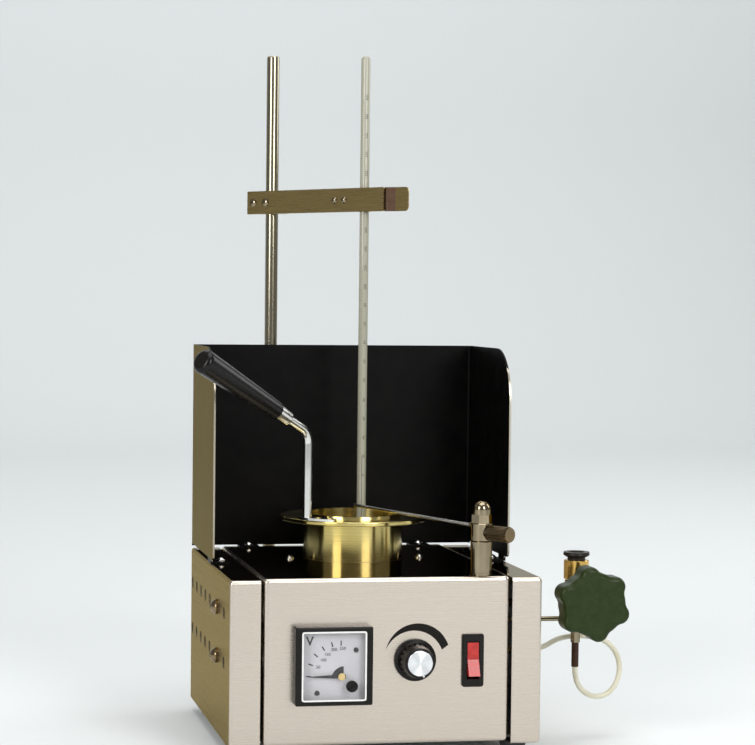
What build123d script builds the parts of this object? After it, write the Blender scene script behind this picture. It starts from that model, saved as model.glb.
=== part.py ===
from build123d import *
import os
from math import atan2, cos, degrees, hypot, pi, radians, sin, tan

os.makedirs("parts", exist_ok=True)

# Open-cup flash point tester. X runs to the right, Y to the back, Z up.
# The origin is in the middle of the four feet, on the bench. Sizes are in millimetres.

# Fits
running_fit = 0.05      # radial clearance of a shaft in its bearing
seat_gap = 0.3          # clearance between two curved faces that do not bear
sheet = 1.2             # stainless sheet of the case and the draught shield

# Case
case_width = 204.0
case_depth = 184.0
cover_height = 108.0
cover_flange = 19.8     # width of the side covers' folded edges
cover_gap = 1.8         # slot between a side cover and the centre shell
cover_radius = 2.5
shell_rise = 0.9        # the centre shell stands this much above the covers
shell_lift = 2.0        # and starts this much above their lower edge
shell_radius = 3.0
shell_lip = 7.0
shell_ledge = 16.0
base_thickness = 1.5

foot_height = 8.0
foot_radius = 9.0
foot_taper = 1.5
foot_bolt_radius = 2.2
foot_stud_rise = 1.2
foot_inset_x = 14.0
foot_inset_y = 16.0
foot_x = case_width / 2 - foot_inset_x
foot_y = case_depth / 2 - foot_inset_y

front_y = -case_depth / 2
back_y = case_depth / 2
side_x = case_width / 2
cover_base = foot_height
cover_top = cover_base + cover_height
shell_width = case_width - 2 * (cover_flange + cover_gap)
shell_base = cover_base + shell_lift
plate_top = cover_top + shell_rise
plate_under = plate_top - sheet
base_z = shell_base + sheet
base_top = base_z + base_thickness

# Side vents and cover screws
vent_radius = 4.0
vent_pitch = 21.3
vent_first_y = back_y - 9.0
vent_steps = (0, 1, 2, 3, 4, 7)
vent_rows = (cover_base + 84.0, cover_base + 52.0)
cover_screw_y = front_y + 56.0
cover_screw_radius = 2.5
cover_head_radius = 5.0
cover_head_height = 4.6
bracket_thickness = 2.0
bracket_width = 22.0
bracket_foot = 15.0
bracket_top = cover_base + 95.0

# Small pan-head screws
pan_radius = 3.0
pan_height = 2.6
pan_shank_radius = 1.6
pan_shank = 6.0
plate_screw_x = 45.0
plate_screw_y = 12.0

# Draught shield
shield_height = 141.5
shield_gap = 2.5        # under the wings
shield_back_gap = 0.8   # under the back
shield_reach = 106.0
shield_front_y = back_y - shield_reach
shield_bend = 3.0
shield_corner = 35.0
shield_heel = 4.0
tab_width = 14.0
tab_reach = 13.0
side_tab_y = shield_front_y + 16.0
back_tab_x = 62.0
shield_base = plate_top + shield_gap

# Test cup
cup_x = 0.0
cup_y = 20.0
cup_radius = 34.0
cup_bore = 31.5
cup_height = 36.0
cup_floor = 2.7
flange_radius = 50.0
flange_thickness = 3.0
rim_rise = 1.9
cup_sink = 5.4          # the cup stands this far below the top plate
cup_hole_gap = 1.0
cup_base = plate_top - cup_sink
cup_rim = cup_base + cup_height
flange_top = cup_rim - rim_rise

# Cup handle: a bent rod, its foot on the flange, and a grip
handle_angle = 216.5    # direction from the cup's axis, seen from above
handle_radius = flange_radius - 4.0
handle_rod_radius = 3.0
handle_height = 58.8
handle_rise = flange_top + handle_height
handle_bend = 12.0
handle_slope = 26.5
foot_strip = 1.5
foot_strip_width = 8.5
foot_strip_angles = (210.0, 243.0)
rivet_angles = (227.0, 238.0)
rivet_radius = 1.2
rivet_head = 1.9
rivet_head_height = 0.9
ferrule_start = 22.0    # lengths along the sloping part, from its corner
ferrule_length = 12.5
ferrule_radius = 5.5
ferrule_nose = 4.9
grip_length = 79.0
grip_radius = 8.2
grip_dome = 4.0
tang_length = 20.0

# Heater
hot_plate_radius = 58.0
hot_plate_thickness = 8.0
hot_plate_recess = 1.0
heater_radius = 60.0
heater_height = 20.5
groove_radii = (20.0, 30.0, 40.0, 50.0)
groove_width = 5.0
groove_depth = 6.0
coil_radius = 1.8
standoff_radius = 4.0
standoff_circle = 48.0
hot_plate_top = cup_base + hot_plate_recess
hot_plate_base = hot_plate_top - hot_plate_thickness
heater_base = hot_plate_base - heater_height

# Test flame post, hub and tube
post_x = shell_width / 2 - 16.9
post_y = front_y + 9.5
post_radius = 7.0
post_ring_radius = 7.3
post_ring_height = 1.6
post_height = 22.0
stud_radius = 3.0
stud_length = 19.0
tail_radius = 4.0
tail_length = 17.0
tail_nut_flats = 13.0
tail_nut_height = 5.0
hub_height = 11.6
cross_radius = 5.2
cross_length = 25.0
cross_neck_radius = 4.4
cross_neck_length = 2.2
cross_grooves = 18
cross_groove_radius = 0.55
tube_boss_radius = 2.0
tube_boss_length = 9.5
tube_radius = 1.2
tube_bore = 0.6
tube_reach = 119.0
tube_slope = 2.3
tube_drop = 2.6         # the tube's axis below the hub's top, at the post
cap_nut_flats = 11.4
cap_nut_height = 5.5
cap_dome_radius = 5.7
cap_dome_height = 9.0
post_top = plate_top + post_height
hub_top = post_top + hub_height
tube_angle = degrees(atan2(cup_y - post_y, cup_x - post_x))

# Stand rod and its sockets on the rear panel
rod_x = 35.9 - shell_width / 2
rod_y = back_y + 9.0
rod_radius = 4.5
rod_foot = cover_base + 18.0
rod_length = 441.0
rod_top = rod_foot + rod_length
rod_chamfer = 0.8
socket_radius = 8.0
socket_plate_width = 46.0
socket_plate_thickness = 3.0
socket_floor = 4.0
lower_socket_height = 26.0
upper_socket_base = cover_base + 80.0
upper_socket_height = 18.0
socket_screw_x = 17.0
thumb_radius = 2.5
thumb_boss_radius = 5.0
thumb_boss_length = 4.0
thumb_head_radius = 7.5
thumb_head_length = 7.0
thumb_stand_off = 3.0

# Thermometer and its arm
stem_x = 8.0
stem_y = 30.0
stem_radius = 3.2
bulb_radius = 2.9
bulb_length = 14.0
bulb_clearance = 6.0    # between the bulb and the cup's floor
stem_top = cover_base + 453.0
arm_height = 16.4
arm_z = cover_base + 354.5
arm_thickness = 1.5
arm_tail = 17.7
arm_end = 109.5
clip_start = 58.0
clip_end = 126.6
clip_thickness = 0.8
clip_flare_start = 107.0
clip_flare_end = 115.5
clip_flare = 4.0
clip_corner = 3.0
block_tail = 16.0
block_nose = 9.0
block_back = 8.0
block_front = rod_radius + 1.0
arm_screw_places = (-11.7, 0.0, 65.3, 73.9)
arm_screw_heads = (2.9, 2.9, 2.3, 2.3)
arm_screw_shank = 1.5
arm_screw_height = 1.7
arm_screw_bite = 6.0
stem_offset = block_front - stem_radius - seat_gap
arm_reach = hypot(stem_x - rod_x, stem_y - rod_y)
arm_angle = degrees(atan2(stem_y - rod_y, stem_x - rod_x)) + degrees(atan2(stem_offset, arm_reach))
stem_along = (arm_reach**2 - stem_offset**2) ** 0.5

# Panel voltmeter
meter_x = -36.2
meter_z = cover_base + 54.0
meter_size = 50.0
meter_depth = 9.0
meter_corner = 1.2
dial_width = 42.0
dial_height = 44.6
dial_corner = 1.5
dial_thickness = 1.0
well_depth = 7.0
meter_body_radius = 22.0
meter_body_length = 36.0
terminal_radius = 2.0
terminal_length = 8.0
terminal_x = 12.0
window_thickness = 1.2
window_inset = 0.2
pivot_dx = 5.3
pivot_dz = -7.0
needle_length = 21.9
needle_tail = 2.9
needle_thickness = 0.4
needle_root = 1.2
needle_tip = 0.45
needle_hub_radius = 2.3
needle_shaft_radius = 1.0
zero_dx = 11.5
zero_dz = -12.8
zero_radius = 3.7
zero_stand = 0.6
zero_slot = 0.9
dial_screws = ((15.0, 9.5), (-10.0, -17.6))
dial_screw_radius = 1.6
dial_screw_height = 0.6
sector_radius = 6.2

# Voltage knob
knob_x = 18.0
knob_z = cover_base + 56.0
knob_skirt_radius = 13.6
knob_skirt_height = 2.2
knob_body_radius = 11.2
knob_top_radius = 9.6
knob_height = 14.6
knob_flutes = 20
knob_flute_radius = 0.9
knob_gap = 0.4
knob_cap_radius = 8.1
knob_cap_height = 0.9
knob_hollow_radius = 9.0
knob_hollow_depth = 4.5
shaft_radius = 3.0
shaft_length = 24.0
bush_radius = 4.5
bush_nut_flats = 13.0
bush_nut_height = 2.4
pot_radius = 12.0
pot_length = 15.0

# Power switch
switch_x = 56.0
switch_z = cover_base + 55.1
switch_width = 14.3
switch_height = 34.3
switch_bezel = 2.0
switch_corner = 1.8
switch_body_width = 12.4
switch_body_height = 31.0
switch_body_depth = 20.0
well_width = 8.2
well_height = 24.4
well_floor = 9.0
rocker_width = 7.4
rocker_half = 10.8
rocker_rise = 4.6
rocker_valley = 2.4
rocker_back = 4.0
rocker_tilt = 12.0
rocker_pin_radius = 1.0
rocker_pin_reach = 4.9
rocker_pivot_y = front_y + 0.5

# Needle valve at the right-hand side
valve_x = side_x + 37.6
valve_y = front_y + 47.0
valve_axis_z = cover_base + 88.6
valve_radius = 7.5
valve_base = valve_axis_z - 20.6
valve_top = valve_axis_z + 10.7
boss_radius = 6.5
boss_length = 15.0
bonnet_flats = 15.0
bonnet_length = 5.0
stem_shaft_radius = 3.0
stem_shaft_start = 3.0
wheel_gap = 6.0
wheel_thickness = 17.0
wheel_core_radius = 21.0
wheel_lobe_radius = 6.6
wheel_lobe_circle = 18.2
wheel_lobes = 6
wheel_lobe_angle = 39.0
wheel_blend = 7.0
wheel_front_round = 3.2
wheel_back_round = 2.0
wheel_hub_radius = 9.0
wheel_hub_length = 3.5
nipple_radius = 3.1
nipple_length = 10.2
barb_radius = 1.3
barb_length = 8.0
joint_radius = 2.4
joint_length = 16.5
support_radius = 1.6
support_z = cover_base + 73.8
support_inside = 8.0
support_bite = 3.0
support_nut_flats = 7.0
support_nut_height = 2.4

# Push-in inlet fitting
fitting_radius = 8.4
fitting_height = 13.9
fitting_chamfer = 1.6
gas_bore = 5.1
gas_bore_depth = 12.2
release_bore_depth = 6.2
release_sleeve_radius = 5.95
release_sleeve_length = 4.6
release_disc_radius = 8.85
release_disc_height = 2.0
release_cone_height = 1.2
release_neck = 2.2
gas_way_radius = 1.6

# Gas hose and bulkhead
hose_radius = 1.8
bulkhead_y = cover_screw_y
bulkhead_z = vent_rows[1]
bulkhead_flats = 10.0
bulkhead_nut = 4.0
bulkhead_nose_radius = 2.4
bulkhead_nose = 3.5
bulkhead_tail = 8.0
bulkhead_tail_radius = 2.8
pipe_radius = 2.0
pipe_bend = 6.0

# Cord gland at the rear
gland_x = shell_width / 2 - 25.4
gland_z = cover_base + 30.0
gland_bore = 3.5
gland_thread_radius = 7.4
gland_inside = 12.0
gland_flats = 19.0
gland_hex = 5.0
gland_dome_radius = 8.4
gland_dome = 12.0
gland_lock_flats = 20.0
gland_lock = 4.0

# Regulator board
board_x = case_width / 2 - 36.0
board_y = back_y - 40.0
board_width = 20.0
board_length = 52.0
board_thickness = 1.6
board_lift = 8.0
spacer_radius = 2.5


def front_plane(x, z, y=front_y):
    """Plane on the front panel that looks forward: local x to the right, local y up."""
    return Plane(origin=(x, y, z), x_dir=(1, 0, 0), z_dir=(0, -1, 0))


def rear_plane(x, z, y=back_y):
    """Plane on the rear panel that looks backward: local x to the left, local y up."""
    return Plane(origin=(x, y, z), x_dir=(-1, 0, 0), z_dir=(0, 1, 0))


def side_plane(side, y, z, x=side_x):
    """Plane on a side cover that looks outward; side is +1 at the right, -1 at the left."""
    return Plane(origin=(side * x, y, z), x_dir=(0, side, 0), z_dir=(side, 0, 0))


def finish(piece, label):
    """Label a piece and write its STEP file."""
    piece.part.label = label
    export_step(piece.part, f"parts/{label}.step")
    print(f"{label:24s} {len(piece.part.solids())} solids  {piece.part.volume:10.1f} mm3")


def headed_pin(head_radius, head_height, shank_radius, shank_length):
    """Round-headed screw or rivet along Z: its head's seat is at Z = 0, its shank below."""
    with BuildPart() as pin:
        with BuildSketch(Plane.XZ):
            with BuildLine():
                Polyline(
                    (0, head_height),
                    (0, -shank_length),
                    (shank_radius, -shank_length),
                    (shank_radius, 0),
                    (head_radius, 0),
                    (head_radius, head_height * 0.3),
                )
                TangentArc((0, head_height), (head_radius, head_height * 0.3), tangent=(1, 0))
            make_face()
        revolve(axis=Axis.Z)
    return pin.part


def turned(plane, points):
    """Solid turned round a plane's Z axis from a closed profile of (radius, length) points."""
    across = Plane(origin=plane.origin, x_dir=plane.x_dir, z_dir=plane.x_dir.cross(plane.z_dir))
    with BuildPart() as turned_piece:
        with BuildSketch(across):
            with BuildLine():
                Polyline(*points, close=True)
            make_face()
        revolve(axis=Axis(plane.origin, plane.z_dir))
    return turned_piece.part


def hexagon(flats):
    """Add a hexagon, measured across its flats, to the sketch being drawn."""
    RegularPolygon(flats / 2, 6, major_radius=False)


# ---------------------------------------------------------------- case

vent_points = [
    (vent_first_y - vent_pitch * step, row) for step in vent_steps for row in vent_rows
]

with BuildPart() as side_cover_left:
    with BuildSketch(Plane.YZ.offset(-side_x)):
        with Locations((0, cover_base + cover_height / 2)):
            RectangleRounded(case_depth, cover_height, cover_radius)
    extrude(amount=cover_flange)
    fillet(faces().sort_by(Axis.X)[0].edges(), radius=cover_radius * 0.8)
    offset(amount=-sheet, openings=faces().sort_by(Axis.X)[-1])
    with BuildSketch(Plane.YZ.offset(-side_x - sheet)):
        with Locations(*vent_points):
            Circle(vent_radius)
        with Locations(*[(cover_screw_y, row) for row in vent_rows]):
            Circle(cover_screw_radius)
    extrude(amount=3 * sheet, mode=Mode.SUBTRACT)
    with BuildSketch(Plane.XY.offset(cover_base - sheet)):
        with Locations((-foot_x, foot_y), (-foot_x, -foot_y)):
            Circle(foot_bolt_radius)
    extrude(amount=3 * sheet, mode=Mode.SUBTRACT)
    with BuildSketch(Plane.XY.offset(cover_top - 2 * sheet)):
        with Locations((-side_x + tab_reach * 0.6, side_tab_y)):
            Circle(pan_shank_radius)
    extrude(amount=3 * sheet, mode=Mode.SUBTRACT)
finish(side_cover_left, "side_cover_left")

with BuildPart() as side_cover_right:
    mirror(side_cover_left.part, about=Plane.YZ)
    with BuildSketch(Plane.YZ.offset(side_x - 2 * sheet)):
        with Locations((valve_y, support_z)):
            Circle(support_radius)
        with Locations((bulkhead_y, bulkhead_z)):
            Circle(bulkhead_tail_radius)
    extrude(amount=3 * sheet, mode=Mode.SUBTRACT)
finish(side_cover_right, "side_cover_right")

with BuildPart() as shell_hollow:
    with BuildSketch(Plane.XY.offset(shell_base + sheet)):
        RectangleRounded(shell_width - 2 * sheet, case_depth - 2 * sheet, shell_radius - sheet)
    extrude(amount=plate_under - shell_base - sheet)
    flat_faces = faces().sort_by(Axis.Z)
    fillet(flat_faces[0].edges() + flat_faces[-1].edges(), radius=(shell_radius - sheet) * 0.85)

with BuildPart() as centre_shell:
    with BuildSketch(Plane.XY.offset(shell_base)):
        RectangleRounded(shell_width, case_depth, shell_radius)
    extrude(amount=plate_top - shell_base)
    flat_faces = faces().sort_by(Axis.Z)
    fillet(flat_faces[0].edges() + flat_faces[-1].edges(), radius=shell_radius * 0.85)
    add(shell_hollow.part, mode=Mode.SUBTRACT)
    # open sides between the folded lips, and open bottom between the front and rear ledges
    with BuildSketch(Plane.YZ):
        with Locations((0, (plate_top - shell_lip) / 2)):
            Rectangle(case_depth - 2 * shell_lip, plate_top - shell_lip)
    extrude(amount=case_width, both=True, mode=Mode.SUBTRACT)
    with BuildSketch(Plane.XY.offset(shell_base - sheet)):
        Rectangle(case_width, case_depth - 2 * shell_ledge)
    extrude(amount=3 * sheet, mode=Mode.SUBTRACT)
    # top plate: cup, post and screws
    with BuildSketch(Plane.XY.offset(plate_top + sheet)):
        with Locations((cup_x, cup_y)):
            Circle(cup_radius + cup_hole_gap)
        with Locations((post_x, post_y)):
            Circle(tail_radius + running_fit)
        with Locations((-plate_screw_x, plate_screw_y), (plate_screw_x, plate_screw_y)):
            Circle(pan_shank_radius)
        with Locations(*[(s * back_tab_x, back_y - tab_reach * 0.6) for s in (-1, 1)]):
            Circle(pan_shank_radius)
    extrude(amount=-3 * sheet, mode=Mode.SUBTRACT)
    # front panel: meter, knob and switch
    with BuildSketch(Plane.XZ.offset(-front_y - 2 * sheet)):
        with Locations((meter_x, meter_z)):
            Circle(meter_body_radius + seat_gap)
        with Locations((knob_x, knob_z)):
            Circle(bush_radius + running_fit)
        with Locations((switch_x, switch_z)):
            Rectangle(switch_body_width + 2 * seat_gap, switch_body_height + 2 * seat_gap)
    extrude(amount=3 * sheet, mode=Mode.SUBTRACT)
    # rear panel: cord gland and socket screws
    with BuildSketch(rear_plane(0, 0, back_y + sheet)):
        with Locations((-gland_x, gland_z)):
            Circle(gland_thread_radius + running_fit)
        with Locations(
            *[
                (-rod_x + s * socket_screw_x, z)
                for s in (-1, 1)
                for z in (rod_foot + lower_socket_height / 2, upper_socket_base + upper_socket_height / 2)
            ]
        ):
            Circle(pan_shank_radius)
    extrude(amount=-3 * sheet, mode=Mode.SUBTRACT)
finish(centre_shell, "centre_shell")

with BuildPart() as base_plate:
    with BuildSketch(Plane.XY.offset(base_z)):
        Rectangle(case_width - 2 * (sheet + seat_gap), case_depth - 2 * (shell_lip + seat_gap))
    extrude(amount=base_thickness)
finish(base_plate, "base_plate")

with BuildPart() as rubber_feet:
    with Locations(*[(sx * foot_x, sy * foot_y, 0) for sx in (-1, 1) for sy in (-1, 1)]):
        Cone(
            foot_radius - foot_taper,
            foot_radius,
            foot_height,
            align=(Align.CENTER, Align.CENTER, Align.MIN),
        )
    with BuildSketch(Plane.XY.offset(foot_height)):
        with Locations(*[(sx * foot_x, sy * foot_y) for sx in (-1, 1) for sy in (-1, 1)]):
            Circle(foot_bolt_radius)
    extrude(amount=sheet + foot_stud_rise)
finish(rubber_feet, "rubber_feet")

with BuildPart() as side_brackets:
    for side in (-1, 1):
        with BuildSketch(side_plane(side, cover_screw_y, 0, side_x - sheet)):
            with Locations((0, (base_top + bracket_top) / 2)):
                Rectangle(bracket_width, bracket_top - base_top)
            with Locations(*[(0, row) for row in vent_rows]):
                Circle(cover_screw_radius, mode=Mode.SUBTRACT)
            if side == 1:
                # room for the valve support's nut and for the gas bulkhead
                with Locations((valve_y - cover_screw_y, support_z)):
                    Circle(support_nut_flats / 2 + 1.5, mode=Mode.SUBTRACT)
                with Locations((bulkhead_y - cover_screw_y, bulkhead_z)):
                    Circle(bulkhead_tail_radius + seat_gap, mode=Mode.SUBTRACT)
        extrude(amount=-bracket_thickness)
        with BuildSketch(Plane.XY.offset(base_top)):
            with Locations((side * (side_x - sheet - bracket_foot / 2), cover_screw_y)):
                Rectangle(bracket_foot, bracket_width)
        extrude(amount=bracket_thickness)
finish(side_brackets, "side_brackets")

cover_screw = headed_pin(cover_head_radius, cover_head_height, cover_screw_radius, 7.0)
with BuildPart() as cover_screws:
    # the gas bulkhead takes the place of the lower one at the right
    with Locations(
        *[side_plane(-1, cover_screw_y, row) for row in vent_rows],
        side_plane(1, cover_screw_y, vent_rows[0]),
    ):
        add(cover_screw)
finish(cover_screws, "cover_screws")

pan_screw = headed_pin(pan_radius, pan_height, pan_shank_radius, pan_shank)
short_screw = headed_pin(pan_radius, pan_height, pan_shank_radius, pan_shank / 2)
# ---------------------------------------------------------------- draught shield

with BuildPart() as draught_shield:
    with BuildSketch(Plane.XY.offset(plate_top + shield_back_gap)):
        with BuildLine():
            FilletPolyline(
                (-side_x, shield_front_y),
                (-side_x, back_y),
                (side_x, back_y),
                (side_x, shield_front_y),
                radius=shield_bend,
            )
            offset(amount=sheet, side=Side.RIGHT)
        make_face()
    extrude(amount=shield_height + shield_gap - shield_back_gap)
    # the wings end higher than the back
    with BuildSketch(Plane.XY.offset(plate_top)):
        with Locations((0, (shield_front_y + back_y - shield_bend) / 2)):
            Rectangle(2 * case_width, shield_reach - shield_bend)
    extrude(amount=shield_gap, mode=Mode.SUBTRACT)
    wing_edges = edges().filter_by(Axis.X).group_by(Axis.Y)[0].group_by(Axis.Z)
    fillet(wing_edges[-1], radius=shield_corner)
    wing_edges = edges().filter_by(Axis.X).group_by(Axis.Y)[0].group_by(Axis.Z)
    fillet(wing_edges[0], radius=shield_heel)
    for side in (-1, 1):
        # wing tab: down from the wing, then folded in over the side cover
        with BuildSketch(Plane.XZ.offset(-side_tab_y)):
            with Locations((side * (side_x - sheet / 2), (cover_top + shield_base) / 2)):
                Rectangle(sheet, shield_base - cover_top)
            with Locations((side * (side_x - tab_reach / 2), cover_top + sheet / 2)):
                Rectangle(tab_reach, sheet)
        extrude(amount=tab_width / 2, both=True)
        # rear tab: down from the back, then folded forward over the top plate
        with BuildSketch(Plane.YZ.offset(side * back_tab_x)):
            with Locations((back_y - sheet / 2, (plate_top + shield_base) / 2)):
                Rectangle(sheet, shield_base - plate_top)
            with Locations((back_y - tab_reach / 2, plate_top + sheet / 2)):
                Rectangle(tab_reach, sheet)
        extrude(amount=tab_width / 2, both=True)
    with BuildSketch(Plane.XY.offset(cover_top - sheet)):
        with Locations(*[(s * (side_x - tab_reach * 0.6), side_tab_y) for s in (-1, 1)]):
            Circle(pan_shank_radius)
        with Locations(*[(s * back_tab_x, back_y - tab_reach * 0.6) for s in (-1, 1)]):
            Circle(pan_shank_radius)
    extrude(amount=4 * sheet, mode=Mode.SUBTRACT)
finish(draught_shield, "draught_shield")

# ---------------------------------------------------------------- heater

with BuildPart() as heating_plate:
    with BuildSketch(Plane.XY.offset(hot_plate_base)):
        with Locations((cup_x, cup_y)):
            Circle(hot_plate_radius)
    extrude(amount=hot_plate_thickness)
    with BuildSketch(Plane.XY.offset(hot_plate_top)):
        with Locations((cup_x, cup_y)):
            Circle(cup_radius + seat_gap)
    extrude(amount=-hot_plate_recess, mode=Mode.SUBTRACT)
finish(heating_plate, "heating_plate")

with BuildPart() as heater_block:
    with BuildSketch(Plane.XY.offset(heater_base)):
        with Locations((cup_x, cup_y)):
            Circle(heater_radius)
    extrude(amount=heater_height)
    with BuildSketch(Plane.XY.offset(hot_plate_base)):
        with Locations((cup_x, cup_y)):
            for radius in sorted(groove_radii, reverse=True):
                Circle(radius + groove_width / 2)
                Circle(radius - groove_width / 2, mode=Mode.SUBTRACT)
    extrude(amount=-groove_depth, mode=Mode.SUBTRACT)
finish(heater_block, "heater_block")

with BuildPart() as heater_coil:
    with Locations((cup_x, cup_y, hot_plate_base - groove_depth + coil_radius)):
        for radius in groove_radii:
            Torus(radius, coil_radius)
finish(heater_coil, "heater_coil")

with BuildPart() as heater_standoffs:
    with BuildSketch(Plane.XY.offset(base_top)):
        with Locations((cup_x, cup_y)):
            with PolarLocations(standoff_circle, 3, start_angle=90):
                Circle(standoff_radius)
    extrude(amount=heater_base - base_top)
finish(heater_standoffs, "heater_standoffs")

# ---------------------------------------------------------------- test cup and handle

with BuildPart() as test_cup:
    with BuildSketch(Plane.XZ.offset(-cup_y)):
        with BuildLine():
            Polyline(
                (cup_x, cup_base),
                (cup_x + cup_radius - 1.0, cup_base),
                (cup_x + cup_radius, cup_base + 1.0),
                (cup_x + cup_radius, flange_top - flange_thickness),
                (cup_x + flange_radius, flange_top - flange_thickness),
                (cup_x + flange_radius, flange_top),
                (cup_x + cup_radius, flange_top),
                (cup_x + cup_radius - 0.4, cup_rim),
                (cup_x + cup_bore, cup_rim),
                (cup_x + cup_bore, cup_base + cup_floor),
                (cup_x, cup_base + cup_floor),
                (cup_x, cup_base),
            )
        make_face()
    revolve(axis=Axis((cup_x, cup_y, 0), (0, 0, 1)))
    flange_edges = edges().filter_by(GeomType.CIRCLE).sort_by(SortBy.RADIUS)[-2:]
    fillet(flange_edges, radius=0.8)
    with BuildSketch(Plane.XY.offset(flange_top)):
        with Locations((cup_x, cup_y)):
            for angle in rivet_angles:
                with PolarLocations(handle_radius - 1.0, 1, start_angle=angle):
                    Circle(rivet_radius)
    extrude(amount=-flange_thickness, mode=Mode.SUBTRACT)
finish(test_cup, "test_cup")

handle_dir = Vector(cos(radians(handle_angle)), sin(radians(handle_angle)), 0)
handle_foot = Vector(cup_x, cup_y, flange_top) + handle_dir * handle_radius
handle_corner = Vector(handle_foot.X, handle_foot.Y, handle_rise)
grip_dir = handle_dir * cos(radians(handle_slope)) + Vector(0, 0, sin(radians(handle_slope)))
grip_start = ferrule_start + ferrule_length
handle_end = handle_corner + grip_dir * (grip_start + tang_length)

with BuildPart() as handle_rod:
    with BuildLine():
        FilletPolyline(
            handle_foot + Vector(0, 0, foot_strip), handle_corner, handle_end, radius=handle_bend
        )
    with BuildSketch(Plane(origin=handle_foot + Vector(0, 0, foot_strip), z_dir=(0, 0, 1))):
        Circle(handle_rod_radius)
    sweep()
    # foot strip that follows the flange
    with BuildSketch(Plane.XY.offset(flange_top)):
        with Locations((cup_x, cup_y)):
            first, last = foot_strip_angles
            with BuildLine():
                CenterArc(
                    (cup_x, cup_y), handle_radius - 1.0 - foot_strip_width / 2, first, last - first
                )
                CenterArc(
                    (cup_x, cup_y), handle_radius - 1.0 + foot_strip_width / 2, first, last - first
                )
                for angle in foot_strip_angles:
                    near = handle_radius - 1.0 - foot_strip_width / 2
                    far = handle_radius - 1.0 + foot_strip_width / 2
                    along = Vector(cos(radians(angle)), sin(radians(angle)))
                    Line(
                        (cup_x + near * along.X, cup_y + near * along.Y),
                        (cup_x + far * along.X, cup_y + far * along.Y),
                    )
            make_face()
        with Locations((cup_x, cup_y)):
            for angle in rivet_angles:
                with PolarLocations(handle_radius - 1.0, 1, start_angle=angle):
                    Circle(rivet_radius, mode=Mode.SUBTRACT)
    extrude(amount=foot_strip)
finish(handle_rod, "handle_rod")

rivet = headed_pin(rivet_head, rivet_head_height, rivet_radius, flange_thickness + foot_strip)
with BuildPart() as handle_rivets:
    with Locations(
        *[
            Vector(cup_x, cup_y, flange_top + foot_strip)
            + Vector(cos(radians(a)), sin(radians(a)), 0) * (handle_radius - 1.0)
            for a in rivet_angles
        ]
    ):
        add(rivet)
finish(handle_rivets, "handle_rivets")

grip_side = Vector(0, 0, 1).cross(handle_dir).normalized()
ferrule_plane = Plane(origin=handle_corner + grip_dir * ferrule_start, x_dir=grip_side, z_dir=grip_dir)
grip_plane = Plane(origin=handle_corner + grip_dir * grip_start, x_dir=grip_side, z_dir=grip_dir)


tang_bore = handle_rod_radius + running_fit
with BuildPart() as handle_ferrule:
    add(turned(
        ferrule_plane,
        [
            (tang_bore, 0),
            (ferrule_nose - 0.5, 0),
            (ferrule_nose, 0.8),
            (ferrule_radius, ferrule_length),
            (tang_bore, ferrule_length),
        ],
    ))
finish(handle_ferrule, "handle_ferrule")

with BuildPart() as handle_grip:
    add(turned(
        grip_plane,
        [
            (0, tang_length + 0.5),
            (tang_bore, tang_length + 0.5),
            (tang_bore, 0),
            (ferrule_radius + 0.2, 0),
            (ferrule_radius + 0.8, 1.5),
            (grip_radius, grip_length - 2.0),
            (grip_radius, grip_length),
            (0, grip_length),
        ],
    ))
    grip_tip = handle_corner + grip_dir * (grip_start + grip_length)
    end_edges = edges().filter_by(GeomType.CIRCLE).sort_by(Axis(grip_tip, grip_dir))[-1]
    fillet(end_edges, radius=grip_dome)
finish(handle_grip, "handle_grip")

# ---------------------------------------------------------------- test flame

with BuildPart() as flame_post:
    with BuildSketch(Plane.XY.offset(plate_top)):
        with Locations((post_x, post_y)):
            Circle(post_radius)
    extrude(amount=post_height)
    chamfer(edges().sort_by(Axis.Z)[-1], length=0.5)
    with BuildSketch(Plane.XY.offset(plate_top)):
        with Locations((post_x, post_y)):
            Circle(post_ring_radius)
    extrude(amount=post_ring_height)
    with BuildSketch(Plane.XY.offset(post_top)):
        with Locations((post_x, post_y)):
            Circle(stud_radius)
    extrude(amount=stud_length)
    with BuildSketch(Plane.XY.offset(plate_top)):
        with Locations((post_x, post_y)):
            Circle(tail_radius)
    extrude(amount=-tail_length)
finish(flame_post, "flame_post")

with BuildPart() as post_nut:
    with BuildSketch(Plane.XY.offset(plate_under)):
        with Locations((post_x, post_y)):
            hexagon(tail_nut_flats)
            Circle(tail_radius, mode=Mode.SUBTRACT)
    extrude(amount=-tail_nut_height)
finish(post_nut, "post_nut")

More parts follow.
